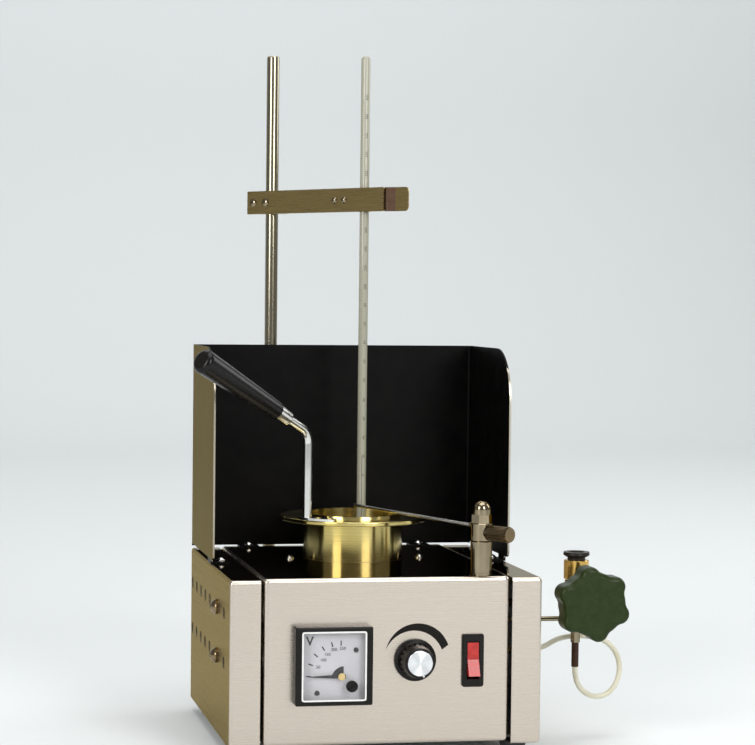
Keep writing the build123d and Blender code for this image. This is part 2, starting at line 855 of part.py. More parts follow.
tube_dir = Vector(cos(radians(tube_angle)), sin(radians(tube_angle)), 0)
cross_z = post_top + hub_height / 2
with BuildPart() as flame_hub:
    with BuildSketch(Plane.XY.offset(post_top)):
        with Locations((post_x, post_y)):
            Circle(post_radius)
    extrude(amount=hub_height)
    rim_edges = edges().filter_by(GeomType.CIRCLE)
    chamfer(rim_edges, length=0.5)
    # cross knob, away from the tube, with its neck and knurl
    cross_start = Vector(post_x, post_y, cross_z)
    with BuildSketch(Plane(origin=cross_start, z_dir=-tube_dir)):
        Circle(cross_neck_radius)
    extrude(amount=post_radius + cross_neck_length)
    knob_from = cross_start - tube_dir * (post_radius + cross_neck_length - 1.2)
    knob_length = cross_length - post_radius - cross_neck_length + 1.2
    with BuildSketch(Plane(origin=knob_from, z_dir=-tube_dir)):
        Circle(cross_radius)
        with PolarLocations(cross_radius, cross_grooves):
            Circle(cross_groove_radius, mode=Mode.SUBTRACT)
    extrude(amount=knob_length - 1.0)
    with BuildSketch(Plane(origin=knob_from - tube_dir * (knob_length - 1.0), z_dir=-tube_dir)):
        Circle(cross_radius - cross_groove_radius)
    extrude(amount=1.0)
    # boss that holds the tube
    tube_root = Vector(post_x, post_y, hub_top - tube_drop)
    tube_line = tube_dir * cos(radians(tube_slope)) + Vector(0, 0, sin(radians(tube_slope)))
    with BuildSketch(Plane(origin=tube_root, z_dir=tube_line)):
        Circle(tube_boss_radius)
    extrude(amount=tube_boss_length)
    with BuildSketch(Plane.XY.offset(hub_top)):
        with Locations((post_x, post_y)):
            Circle(stud_radius + running_fit)
    extrude(amount=-hub_height, mode=Mode.SUBTRACT)
finish(flame_hub, "flame_hub")

with BuildPart() as flame_tube:
    with BuildSketch(Plane(origin=tube_root + tube_line * tube_boss_length, z_dir=tube_line)):
        Circle(tube_radius)
    extrude(amount=tube_reach - tube_boss_length)
    with BuildSketch(Plane(origin=tube_root + tube_line * tube_reach, z_dir=tube_line)):
        Circle(tube_bore)
    extrude(amount=-8.0, mode=Mode.SUBTRACT)
finish(flame_tube, "flame_tube")

with BuildPart() as flame_cap_nut:
    with BuildSketch(Plane.XY.offset(hub_top)):
        with Locations((post_x, post_y)):
            hexagon(cap_nut_flats)
    extrude(amount=cap_nut_height)
    cap_middle = hub_top + cap_nut_height
    with BuildSketch(Plane.XZ.offset(-post_y)):
        with BuildLine():
            Polyline(
                (post_x, cap_middle + cap_dome_height),
                (post_x, cap_middle),
                (post_x + cap_dome_radius, cap_middle),
                (post_x + cap_dome_radius, cap_middle + cap_dome_height - cap_dome_radius),
            )
            RadiusArc(
                (post_x + cap_dome_radius, cap_middle + cap_dome_height - cap_dome_radius),
                (post_x, cap_middle + cap_dome_height),
                -cap_dome_radius,
            )
        make_face()
    revolve(axis=Axis((post_x, post_y, 0), (0, 0, 1)))
    with BuildSketch(Plane.XY.offset(hub_top)):
        with Locations((post_x, post_y)):
            Circle(stud_radius)
    extrude(amount=stud_length - hub_height, mode=Mode.SUBTRACT)
finish(flame_cap_nut, "flame_cap_nut")

# ---------------------------------------------------------------- stand rod

lower_socket_base = rod_foot - socket_floor


def rod_socket(base, height, floor):
    """Rod socket on the rear panel: a plate with a round boss, bored from above the floor."""
    with BuildPart() as socket:
        with BuildSketch(Plane.XY.offset(base)):
            with Locations((rod_x, back_y + socket_plate_thickness / 2)):
                Rectangle(socket_plate_width, socket_plate_thickness)
            with Locations((rod_x, rod_y)):
                Circle(socket_radius)
            with Locations((rod_x, (back_y + rod_y) / 2)):
                Rectangle(2 * socket_radius, rod_y - back_y)
        extrude(amount=height)
        with BuildSketch(Plane.XY.offset(base + height)):
            with Locations((rod_x, rod_y)):
                Circle(rod_radius + running_fit)
        extrude(amount=floor - height, mode=Mode.SUBTRACT)
    return socket.part


with BuildPart() as lower_rod_socket:
    add(rod_socket(lower_socket_base, lower_socket_height, socket_floor))
    with BuildSketch(rear_plane(0, 0, back_y + socket_plate_thickness)):
        with Locations(
            *[(-rod_x + s * socket_screw_x, rod_foot + lower_socket_height / 2) for s in (-1, 1)]
        ):
            Circle(pan_shank_radius)
    extrude(amount=-socket_plate_thickness, mode=Mode.SUBTRACT)
finish(lower_rod_socket, "lower_rod_socket")

thumb_z = upper_socket_base + upper_socket_height / 2
thumb_boss_end = rod_y + socket_radius + thumb_boss_length
with BuildPart() as upper_rod_socket:
    add(rod_socket(upper_socket_base, upper_socket_height, 0))
    with BuildSketch(rear_plane(rod_x, thumb_z, rod_y + rod_radius + 1.0)):
        Circle(thumb_boss_radius)
    extrude(amount=socket_radius - rod_radius - 1.0 + thumb_boss_length)
    with BuildSketch(rear_plane(rod_x, thumb_z, thumb_boss_end)):
        Circle(thumb_radius + running_fit)
    extrude(amount=rod_y - thumb_boss_end, mode=Mode.SUBTRACT)
    with BuildSketch(rear_plane(0, 0, back_y + socket_plate_thickness)):
        with Locations(*[(-rod_x + s * socket_screw_x, thumb_z) for s in (-1, 1)]):
            Circle(pan_shank_radius)
    extrude(amount=-socket_plate_thickness, mode=Mode.SUBTRACT)
finish(upper_rod_socket, "upper_rod_socket")

with BuildPart() as pan_screws:
    # top plate, draught shield and rod sockets
    with Locations(
        (-plate_screw_x, plate_screw_y, plate_top), (plate_screw_x, plate_screw_y, plate_top)
    ):
        add(short_screw)
    with Locations(
        *[(s * (side_x - tab_reach * 0.6), side_tab_y, cover_top + sheet) for s in (-1, 1)],
        *[(s * back_tab_x, back_y - tab_reach * 0.6, plate_top + sheet) for s in (-1, 1)],
        *[
            rear_plane(rod_x + s * socket_screw_x, z, back_y + socket_plate_thickness)
            for s in (-1, 1)
            for z in (rod_foot + lower_socket_height / 2, thumb_z)
        ],
    ):
        add(pan_screw)
finish(pan_screws, "pan_screws")

with BuildPart() as thumb_screw:
    tip_y = rod_y + rod_radius + seat_gap
    head_y = thumb_boss_end + thumb_stand_off
    with BuildSketch(rear_plane(rod_x, thumb_z, tip_y)):
        Circle(thumb_radius)
    extrude(amount=head_y - tip_y)
    with BuildSketch(rear_plane(rod_x, thumb_z, head_y)):
        Circle(thumb_head_radius)
        with PolarLocations(thumb_head_radius, 12):
            Circle(1.0, mode=Mode.SUBTRACT)
    extrude(amount=thumb_head_length)
finish(thumb_screw, "thumb_screw")

with BuildPart() as stand_rod:
    with BuildSketch(Plane.XY.offset(rod_foot)):
        with Locations((rod_x, rod_y)):
            Circle(rod_radius)
    extrude(amount=rod_top - rod_foot)
    chamfer(edges().filter_by(GeomType.CIRCLE), length=rod_chamfer)
finish(stand_rod, "stand_rod")

# ---------------------------------------------------------------- thermometer arm

arm_plane = Plane(
    origin=(rod_x, rod_y, arm_z),
    x_dir=(cos(radians(arm_angle)), sin(radians(arm_angle)), 0),
    z_dir=(0, 0, 1),
)


def arm_face(along, depth=-(block_front + arm_thickness)):
    """Plane on the arm's front face, looking out of it, at a distance along the arm."""
    return Plane(
        origin=arm_plane.from_local_coords((along, depth, 0)),
        x_dir=arm_plane.x_dir,
        z_dir=-arm_plane.y_dir,
    )


with BuildPart() as clamp_block:
    with BuildSketch(arm_plane):
        with Locations(((block_nose - block_tail) / 2, (block_back - block_front) / 2)):
            Rectangle(block_nose + block_tail, block_back + block_front)
        fillet(vertices().group_by(Axis.Y)[-1], radius=2.5)
        Circle(rod_radius + running_fit, mode=Mode.SUBTRACT)
    extrude(amount=arm_height / 2 - 0.4, both=True)
    for along in arm_screw_places[:2]:
        with BuildSketch(arm_face(along, -block_front)):
            Circle(arm_screw_shank)
        extrude(amount=-7.0 if along else -block_front, mode=Mode.SUBTRACT)
finish(clamp_block, "clamp_block")

with BuildPart() as arm_strip:
    with BuildSketch(arm_face((arm_end - arm_tail) / 2, -block_front)):
        RectangleRounded(arm_end + arm_tail, arm_height, 0.8)
    extrude(amount=arm_thickness)
    for along in arm_screw_places:
        with BuildSketch(arm_face(along)):
            Circle(arm_screw_shank)
        extrude(amount=-arm_thickness, mode=Mode.SUBTRACT)
finish(arm_strip, "arm_strip")

clip_back = -block_front + clip_thickness
with BuildPart() as spring_clip:
    with BuildSketch(arm_plane):
        # groove round the stem
        with Locations((stem_along, -stem_offset)):
            Circle(stem_radius + seat_gap + clip_thickness)
            Circle(stem_radius + seat_gap, mode=Mode.SUBTRACT)
        groove_radius = stem_radius + seat_gap + clip_thickness
        with Locations((stem_along, clip_back - groove_radius)):
            Rectangle(3 * groove_radius, 2 * groove_radius, mode=Mode.SUBTRACT)
        # flat leaves against the strip
        leaf_gap = ((stem_radius + seat_gap) ** 2 - (clip_back + stem_offset) ** 2) ** 0.5
        with Locations(((clip_start + stem_along - leaf_gap) / 2, clip_back - clip_thickness / 2)):
            Rectangle(stem_along - leaf_gap - clip_start, clip_thickness)
        with Locations(
            ((clip_flare_start + stem_along + leaf_gap) / 2, clip_back - clip_thickness / 2)
        ):
            Rectangle(clip_flare_start - stem_along - leaf_gap, clip_thickness)
        # flared end
        with BuildLine():
            Polyline(
                (clip_flare_start - 0.5, clip_back - clip_thickness),
                (clip_flare_start, clip_back - clip_thickness),
                (clip_flare_end, clip_back - clip_thickness + clip_flare),
                (clip_end, clip_back - clip_thickness + clip_flare),
                (clip_end, clip_back + clip_flare),
                (clip_flare_end - 0.3, clip_back + clip_flare),
                (clip_flare_start - 0.5, clip_back),
                close=True,
            )
        make_face()
    extrude(amount=arm_height / 2, both=True)
    end_edges = edges().filter_by(lambda e: abs(e.length - clip_thickness) < 0.01)
    corner_edges = end_edges.sort_by(Axis((0, 0, 0), arm_plane.x_dir))[-2:]
    fillet(corner_edges, radius=clip_corner)
    for along in arm_screw_places[2:]:
        with BuildSketch(arm_face(along, clip_back)):
            Circle(arm_screw_shank)
        extrude(amount=clip_thickness, mode=Mode.SUBTRACT)
        with BuildSketch(arm_face(along, clip_back)):
            Circle(arm_screw_shank)
        extrude(amount=-clip_thickness, mode=Mode.SUBTRACT)
finish(spring_clip, "spring_clip")

set_screw_length = arm_thickness + block_front - rod_radius - seat_gap
with BuildPart() as arm_screws:
    shanks = (arm_thickness + arm_screw_bite, set_screw_length, arm_thickness + clip_thickness, 0)
    for along, head, shank in zip(arm_screw_places, arm_screw_heads, shanks):
        length = shank or arm_thickness + clip_thickness
        with Locations(arm_face(along)):
            add(headed_pin(head, arm_screw_height, arm_screw_shank, length))
finish(arm_screws, "arm_screws")

bulb_base = cup_base + cup_floor + bulb_clearance
with BuildPart() as thermometer_bulb:
    with BuildSketch(Plane.XZ.offset(-stem_y)):
        with BuildLine():
            Polyline(
                (stem_x, bulb_base),
                (stem_x, bulb_base + bulb_length),
                (stem_x + stem_radius, bulb_base + bulb_length),
                (stem_x + bulb_radius, bulb_base + bulb_length - 2.5),
                (stem_x + bulb_radius, bulb_base + bulb_radius),
            )
            RadiusArc(
                (stem_x + bulb_radius, bulb_base + bulb_radius), (stem_x, bulb_base), bulb_radius
            )
        make_face()
    revolve(axis=Axis((stem_x, stem_y, 0), (0, 0, 1)))
finish(thermometer_bulb, "thermometer_bulb")

with BuildPart() as thermometer_stem:
    with BuildSketch(Plane.XY.offset(bulb_base + bulb_length)):
        with Locations((stem_x, stem_y)):
            Circle(stem_radius)
    extrude(amount=stem_top - bulb_base - bulb_length)
    fillet(edges().filter_by(GeomType.CIRCLE).sort_by(Axis.Z)[-1], radius=stem_radius * 0.7)
finish(thermometer_stem, "thermometer_stem")

# ---------------------------------------------------------------- voltmeter

meter_front = front_y - meter_depth
well_floor_y = meter_front + well_depth
pivot_x = meter_x + pivot_dx
pivot_z = meter_z + pivot_dz

with BuildPart() as meter_housing:
    with BuildSketch(front_plane(meter_x, meter_z)):
        RectangleRounded(meter_size, meter_size, meter_corner)
    extrude(amount=meter_depth)
    chamfer(faces().sort_by(Axis.Y)[0].edges(), length=0.8)
    with BuildSketch(front_plane(meter_x, meter_z)):
        Circle(meter_body_radius)
    extrude(amount=-meter_body_length)
    with BuildSketch(front_plane(meter_x, meter_z, front_y + meter_body_length)):
        with Locations((-terminal_x, 0), (terminal_x, 0)):
            Circle(terminal_radius)
    extrude(amount=-terminal_length)
    with BuildSketch(front_plane(meter_x, meter_z, meter_front)):
        RectangleRounded(dial_width, dial_height, dial_corner)
    extrude(amount=-well_depth, mode=Mode.SUBTRACT)
    with BuildSketch(front_plane(pivot_x, pivot_z, well_floor_y)):
        Circle(needle_shaft_radius + running_fit)
    extrude(amount=-6.0, mode=Mode.SUBTRACT)
finish(meter_housing, "meter_housing")

with BuildPart() as meter_dial:
    with BuildSketch(front_plane(meter_x, meter_z, well_floor_y)):
        RectangleRounded(dial_width - 0.1, dial_height - 0.1, dial_corner)
        with BuildLine():
            Line((pivot_dx + 2.0, pivot_dz - 1.5), (pivot_dx + 2.0, pivot_dz + sector_radius))
            RadiusArc(
                (pivot_dx + 2.0, pivot_dz + sector_radius),
                (pivot_dx - sector_radius, pivot_dz - 1.5),
                -sector_radius * 1.4,
            )
            Line((pivot_dx - sector_radius, pivot_dz - 1.5), (pivot_dx + 2.0, pivot_dz - 1.5))
        make_face(mode=Mode.SUBTRACT)
    extrude(amount=dial_thickness)
finish(meter_dial, "meter_dial")

dial_face_y = well_floor_y - dial_thickness
with BuildPart() as dial_screw_heads:
    for dx, dz in dial_screws:
        with BuildSketch(front_plane(meter_x + dx, meter_z + dz, dial_face_y)):
            Circle(dial_screw_radius)
        extrude(amount=dial_screw_height)
finish(dial_screw_heads, "dial_screws")

needle_y = dial_face_y - 2.0
with BuildPart() as meter_needle:
    with BuildSketch(front_plane(pivot_x, pivot_z, needle_y)):
        with BuildLine():
            Polyline(
                (-needle_length, 0),
                (-needle_length * 0.8, needle_tip),
                (-needle_hub_radius, needle_root),
                (needle_tail, needle_root),
                (needle_tail, -needle_root),
                (-needle_hub_radius, -needle_root),
                (-needle_length * 0.8, -needle_tip),
                close=True,
            )
        make_face()
        Circle(needle_hub_radius - 0.2)
        Circle(needle_shaft_radius, mode=Mode.SUBTRACT)
    extrude(amount=needle_thickness)
finish(meter_needle, "meter_needle")

with BuildPart() as needle_hub:
    with BuildSketch(front_plane(pivot_x, pivot_z, needle_y - needle_thickness)):
        Circle(needle_hub_radius)
    extrude(amount=0.9)
    with BuildSketch(front_plane(pivot_x, pivot_z, needle_y - needle_thickness)):
        Circle(needle_shaft_radius)
    extrude(amount=-(well_floor_y - needle_y + needle_thickness + 4.0))
finish(needle_hub, "needle_hub")

window_back = meter_front + window_inset + window_thickness
with BuildPart() as meter_window:
    with BuildSketch(front_plane(meter_x, meter_z, window_back)):
        RectangleRounded(dial_width, dial_height, dial_corner)
        with Locations((zero_dx, zero_dz)):
            Circle(zero_radius + running_fit, mode=Mode.SUBTRACT)
    extrude(amount=window_thickness)
finish(meter_window, "meter_window")

with BuildPart() as zero_screw:
    with BuildSketch(front_plane(meter_x + zero_dx, meter_z + zero_dz, window_back)):
        Circle(zero_radius)
    extrude(amount=window_thickness + zero_stand)
    with BuildSketch(
        front_plane(meter_x + zero_dx, meter_z + zero_dz, window_back - window_thickness - zero_stand)
    ):
        Rectangle(2 * zero_radius, zero_slot, rotation=30)
    extrude(amount=-0.6, mode=Mode.SUBTRACT)
finish(zero_screw, "zero_screw")

# ---------------------------------------------------------------- voltage knob

with BuildPart() as potentiometer:
    with BuildSketch(front_plane(knob_x, knob_z, front_y + sheet)):
        Circle(pot_radius)
    extrude(amount=-pot_length)
    with BuildSketch(front_plane(knob_x, knob_z, front_y + sheet)):
        Circle(bush_radius)
    extrude(amount=sheet + bush_nut_height + 0.6)
    with BuildSketch(front_plane(knob_x, knob_z)):
        hexagon(bush_nut_flats)
    extrude(amount=bush_nut_height)
    with BuildSketch(front_plane(knob_x, knob_z, front_y - 6.0)):
        Circle(shaft_radius + running_fit)
    extrude(amount=-6.0 - sheet - pot_length + 2.0, mode=Mode.SUBTRACT)
finish(potentiometer, "potentiometer")

knob_front = front_y - knob_gap - knob_height
with BuildPart() as knob_shaft:
    with BuildSketch(front_plane(knob_x, knob_z, knob_front + 2.0)):
        Circle(shaft_radius)
    extrude(amount=-shaft_length)
finish(knob_shaft, "knob_shaft")

knob_plane = front_plane(knob_x, knob_z, front_y - knob_gap)
with BuildPart() as voltage_knob:
    add(turned(
        knob_plane,
        [
            (0, knob_hollow_depth),
            (knob_hollow_radius, knob_hollow_depth),
            (knob_hollow_radius, 0),
            (knob_skirt_radius, 0),
            (knob_skirt_radius, knob_skirt_height * 0.6),
            (knob_body_radius + 0.6, knob_skirt_height),
            (knob_body_radius, knob_skirt_height + 0.8),
            (knob_top_radius, knob_height - 0.8),
            (knob_top_radius - 0.8, knob_height),
            (0, knob_height),
        ],
    ))
    # flutes round the body, above the skirt
    with BuildSketch(front_plane(knob_x, knob_z, front_y - knob_gap - knob_skirt_height - 0.8)):
        with PolarLocations(knob_body_radius, knob_flutes, start_angle=360 / knob_flutes / 2):
            Circle(knob_flute_radius)
    extrude(amount=knob_height, mode=Mode.SUBTRACT)
    with BuildSketch(front_plane(knob_x, knob_z, front_y)):
        Circle(shaft_radius)
    extrude(amount=knob_height - 1.6, mode=Mode.SUBTRACT)
    # seat of the cap
    with BuildSketch(front_plane(knob_x, knob_z, knob_front)):
        Circle(knob_cap_radius)
    extrude(amount=-knob_cap_height / 2, mode=Mode.SUBTRACT)
finish(voltage_knob, "voltage_knob")

with BuildPart() as knob_cap:
    with BuildSketch(front_plane(knob_x, knob_z, knob_front + knob_cap_height / 2)):
        Circle(knob_cap_radius)
    extrude(amount=knob_cap_height)
    chamfer(edges().filter_by(GeomType.CIRCLE).sort_by(Axis.Y)[0], length=0.25)
finish(knob_cap, "knob_cap")

# ---------------------------------------------------------------- power switch

with BuildPart() as switch_frame:
    with BuildSketch(front_plane(switch_x, switch_z)):
        RectangleRounded(switch_width, switch_height, switch_corner)
    extrude(amount=switch_bezel)
    chamfer(faces().sort_by(Axis.Y)[0].edges(), length=0.5)
    with BuildSketch(front_plane(switch_x, switch_z)):
        Rectangle(switch_body_width, switch_body_height)
    extrude(amount=-switch_body_depth)
    with BuildSketch(front_plane(switch_x, switch_z, front_y - switch_bezel)):
        Rectangle(well_width, well_height)
    extrude(amount=-well_floor, mode=Mode.SUBTRACT)
    with BuildSketch(Plane.YZ.offset(switch_x)):
        with Locations((rocker_pivot_y, switch_z)):
            Circle(rocker_pin_radius + running_fit)
    extrude(amount=rocker_pin_reach + 0.2, both=True, mode=Mode.SUBTRACT)
    with BuildSketch(front_plane(switch_x, switch_z, front_y + switch_body_depth)):
        with Locations((0, -9.0), (0, 0), (0, 9.0)):
            Rectangle(4.8, 0.8)
    extrude(amount=-8.0)
finish(switch_frame, "switch_frame")

rocker_plane = Plane(
    origin=(switch_x, rocker_pivot_y, switch_z),
    x_dir=(0, sin(radians(rocker_tilt)), cos(radians(rocker_tilt))),
    z_dir=(1, 0, 0),
)
with BuildPart() as rocker:
    with BuildSketch(rocker_plane):
        with BuildLine():
            Polyline(
                (-rocker_half, rocker_rise),
                (0, rocker_valley),
                (rocker_half, rocker_rise),
                (rocker_half, rocker_rise - 2.8),
                (rocker_back, -rocker_back),
                (-rocker_back, -rocker_back),
                (-rocker_half, rocker_rise - 2.8),
                close=True,
            )
        make_face()
    extrude(amount=rocker_width / 2, both=True)
    with BuildSketch(rocker_plane):
        Circle(rocker_pin_radius)
    extrude(amount=rocker_pin_reach, both=True)
finish(rocker, "rocker")

# ---------------------------------------------------------------- needle valve

with BuildPart() as valve_body:
    with BuildSketch(Plane.XY.offset(valve_base)):
        with Locations((valve_x, valve_y)):
            Circle(valve_radius)
    extrude(amount=valve_top - valve_base)
    chamfer(edges().filter_by(GeomType.CIRCLE).sort_by(Axis.Z)[0], length=1.5)
    with BuildSketch(front_plane(valve_x, valve_axis_z, valve_y)):
        Circle(boss_radius)
    extrude(amount=boss_length)
    with BuildSketch(Plane.XY.offset(valve_base)):
        with Locations((valve_x, valve_y)):
            Circle(nipple_radius)
    extrude(amount=-nipple_length)
    with BuildSketch(Plane.XY.offset(valve_base - nipple_length)):
        with Locations((valve_x, valve_y)):
            Circle(barb_radius)
    extrude(amount=-barb_length)
    with BuildSketch(front_plane(valve_x, valve_axis_z, valve_y - boss_length)):
        Circle(stem_shaft_radius + running_fit)
    extrude(amount=-(boss_length + stem_shaft_start), mode=Mode.SUBTRACT)
    with BuildSketch(Plane.XY.offset(valve_top)):
        with Locations((valve_x, valve_y)):
            Circle(gas_way_radius)
    extrude(amount=-5.0, mode=Mode.SUBTRACT)
    with BuildSketch(Plane.YZ.offset(valve_x - valve_radius - 1.0)):
        with Locations((valve_y, support_z)):
            Circle(support_radius)
    extrude(amount=support_bite + 1.0, mode=Mode.SUBTRACT)
finish(valve_body, "valve_body")

bonnet_y = valve_y - boss_length
with BuildPart() as valve_bonnet:
    with BuildSketch(front_plane(valve_x, valve_axis_z, bonnet_y)):
        hexagon(bonnet_flats)
        Circle(stem_shaft_radius + running_fit, mode=Mode.SUBTRACT)
    extrude(amount=bonnet_length)
finish(valve_bonnet, "valve_bonnet")

wheel_back_y = bonnet_y - bonnet_length - wheel_gap
with BuildPart() as valve_stem:
    with BuildSketch(front_plane(valve_x, valve_axis_z, valve_y + stem_shaft_start - 1.0)):
        Circle(stem_shaft_radius)
    extrude(amount=valve_y + stem_shaft_start - 1.0 - wheel_back_y + wheel_thickness * 0.6)
finish(valve_stem, "valve_stem")

with BuildPart() as valve_handwheel:
    with BuildSketch(front_plane(valve_x, valve_axis_z, wheel_back_y)):
        Circle(wheel_core_radius)
        with PolarLocations(wheel_lobe_circle, wheel_lobes, start_angle=wheel_lobe_angle):
            Circle(wheel_lobe_radius)
        fillet(vertices(), radius=wheel_blend)
    extrude(amount=wheel_thickness)
    fillet(faces().sort_by(Axis.Y)[0].edges(), radius=wheel_front_round)
    fillet(faces().sort_by(Axis.Y)[-1].edges(), radius=wheel_back_round)
    with BuildSketch(front_plane(valve_x, valve_axis_z, wheel_back_y)):
        Circle(wheel_hub_radius)
    extrude(amount=-wheel_hub_length)
    with BuildSketch(front_plane(valve_x, valve_axis_z, wheel_back_y + wheel_hub_length)):
        Circle(stem_shaft_radius)
    extrude(amount=wheel_hub_length + wheel_thickness * 0.6, mode=Mode.SUBTRACT)
finish(valve_handwheel, "valve_handwheel")

with BuildPart() as valve_support:
    support_start = side_x - sheet - support_inside
    with BuildSketch(Plane.YZ.offset(support_start)):
        with Locations((valve_y, support_z)):
            Circle(support_radius)
    extrude(amount=valve_x - valve_radius + support_bite - support_start)
    for nut_x, nut_dir in ((side_x, 1), (side_x - sheet, -1), (valve_x - valve_radius - 0.2, -1)):
        with BuildSketch(Plane.YZ.offset(nut_x)):
            with Locations((valve_y, support_z)):
                hexagon(support_nut_flats)
        extrude(amount=nut_dir * support_nut_height)
finish(valve_support, "valve_support")

with BuildPart() as inlet_fitting:
    with BuildSketch(Plane.XY.offset(valve_top)):
        with Locations((valve_x, valve_y)):
            Circle(fitting_radius)
    extrude(amount=fitting_height)
    ends = edges().filter_by(GeomType.CIRCLE).sort_by(Axis.Z)
    chamfer(ends[0], length=fitting_chamfer)
    ends = edges().filter_by(GeomType.CIRCLE).sort_by(Axis.Z)
    chamfer(ends[-1], length=0.5)
    with BuildSketch(Plane.XY.offset(valve_top + fitting_height)):
        with Locations((valve_x, valve_y)):
            Circle(gas_bore)
    extrude(amount=-gas_bore_depth, mode=Mode.SUBTRACT)
    with BuildSketch(Plane.XY.offset(valve_top + fitting_height)):
        with Locations((valve_x, valve_y)):
            Circle(release_sleeve_radius + running_fit)
    extrude(amount=-release_bore_depth, mode=Mode.SUBTRACT)
    with BuildSketch(Plane.XY.offset(valve_top + fitting_height)):
        with Locations((valve_x, valve_y)):
            Circle(gas_way_radius)
    extrude(amount=-fitting_height, mode=Mode.SUBTRACT)
finish(inlet_fitting, "inlet_fitting")

release_base = valve_top + fitting_height + release_neck
release_top = release_cone_height + release_disc_height
with BuildPart() as release_ring:
    add(turned(
        Plane(origin=(valve_x, valve_y, release_base), x_dir=(1, 0, 0), z_dir=(0, 0, 1)),
        [
            (gas_bore, -release_neck - release_sleeve_length),
            (release_sleeve_radius, -release_neck - release_sleeve_length),
            (release_sleeve_radius, 0),
            (release_disc_radius - 1.6, 0),
            (release_disc_radius, release_cone_height),
            (release_disc_radius - 0.3, release_top),
            (gas_bore + 0.5, release_top),
            (gas_bore, release_top - 0.5),
        ],
    ))
finish(release_ring, "release_ring")

# ---------------------------------------------------------------- hose

joint_top = valve_base - nipple_length
joint_base = joint_top - joint_length
with BuildPart() as hose_joint:
    with BuildSketch(Plane.XY.offset(joint_top)):
        with Locations((valve_x, valve_y)):
            Circle(joint_radius)
    extrude(amount=-joint_length)
    with BuildSketch(Plane.XY.offset(joint_top)):
        with Locations((valve_x, valve_y)):
            Circle(barb_radius)
    extrude(amount=-barb_length, mode=Mode.SUBTRACT)
finish(hose_joint, "hose_joint")

bulkhead_nose_x = side_x + bulkhead_nut + bulkhead_nose
with BuildPart() as gas_bulkhead:
    with BuildSketch(Plane.YZ.offset(side_x)):
        with Locations((bulkhead_y, bulkhead_z)):
            hexagon(bulkhead_flats)
    extrude(amount=bulkhead_nut)
    with BuildSketch(Plane.YZ.offset(side_x + bulkhead_nut)):
        with Locations((bulkhead_y, bulkhead_z)):
            Circle(bulkhead_nose_radius)
    extrude(amount=bulkhead_nose)
    with BuildSketch(Plane.YZ.offset(side_x)):
        with Locations((bulkhead_y, bulkhead_z)):
            Circle(bulkhead_tail_radius)
    extrude(amount=-bulkhead_tail)
finish(gas_bulkhead, "gas_bulkhead")

# The hose leaves the rubber joint downward, loops to the right and up, passes behind the
# valve's nipple and enters the case.
hose_route = [
    (valve_x, valve_y, joint_base),
    (valve_x, valve_y, 38.6),
    (valve_x + 10.2, valve_y + 1.0, 28.4),
    (valve_x + 23.6, valve_y + 2.4, 28.4),
    (valve_x + 32.8, valve_y + 4.0, 39.6),
    (valve_x + 32.8, valve_y + 5.6, 55.2),
    (valve_x + 23.2, valve_y + 7.6, 66.4),
    (valve_x + 7.4, valve_y + 9.2, 68.8),
    (valve_x - 8.6, valve_y + 9.2, 67.6),
    (bulkhead_nose_x + 9.0, bulkhead_y, bulkhead_z),
    (bulkhead_nose_x, bulkhead_y, bulkhead_z),
]


def route_radii(points, share=0.45):
    """Largest arc for each corner: a share of its shorter run over the tangent of half its turn."""
    radii = []
    for before, here, after in zip(points, points[1:], points[2:]):
        run_in = Vector(*here) - Vector(*before)
        run_out = Vector(*after) - Vector(*here)
        turn = radians(run_in.get_angle(run_out))
        radii.append(share * min(run_in.length, run_out.length) / tan(turn / 2))
    return radii


hose_radii = route_radii(hose_route)
print("hose radii", [round(r, 1) for r in hose_radii])
with BuildPart() as gas_hose:
    with BuildLine():
        hose_path = FilletPolyline(*hose_route, radius=hose_radii)
    with BuildSketch(Plane(origin=hose_path @ 0, z_dir=hose_path % 0)):
        Circle(hose_radius)
    sweep()
hose_length = hose_path.length
print("hose length", round(hose_length, 1), "volume", round(gas_hose.part.volume, 1),
      "section x length", round(pi * hose_radius**2 * hose_length, 1))
finish(gas_hose, "gas_hose")

with BuildPart() as gas_pipe:
    pipe_route = [
        (side_x - bulkhead_tail, bulkhead_y, bulkhead_z),
        (side_x - bulkhead_tail - 18.0, bulkhead_y, bulkhead_z),
        (side_x - bulkhead_tail - 18.0, bulkhead_y, plate_top - tail_length - 12.0),
        (post_x, post_y, plate_top - tail_length - 12.0),
        (post_x, post_y, plate_top - tail_length),
    ]
    with BuildLine():
        pipe_path = FilletPolyline(*pipe_route, radius=pipe_bend)
    with BuildSketch(Plane(origin=pipe_path @ 0, z_dir=pipe_path % 0)):
        Circle(pipe_radius)
    sweep()
finish(gas_pipe, "gas_pipe")

# ---------------------------------------------------------------- rear gland and board

with BuildPart() as cord_gland:
    with BuildSketch(rear_plane(gland_x, gland_z)):
        hexagon(gland_flats)
    extrude(amount=gland_hex)
    with BuildSketch(rear_plane(gland_x, gland_z, back_y + gland_hex)):
        Circle(gland_dome_radius)
    extrude(amount=gland_dome)
    fillet(edges().filter_by(GeomType.CIRCLE).sort_by(Axis.Y)[-1], radius=3.0)
    with BuildSketch(rear_plane(gland_x, gland_z)):
        Circle(gland_thread_radius)
    extrude(amount=-gland_inside)
    with BuildSketch(rear_plane(gland_x, gland_z, back_y - sheet)):
        hexagon(gland_lock_flats)
    extrude(amount=-gland_lock)
    with BuildSketch(rear_plane(gland_x, gland_z, back_y + gland_hex + gland_dome)):
        Circle(gland_bore)
    extrude(amount=-(gland_hex + gland_dome + gland_inside), mode=Mode.SUBTRACT)
finish(cord_gland, "cord_gland")

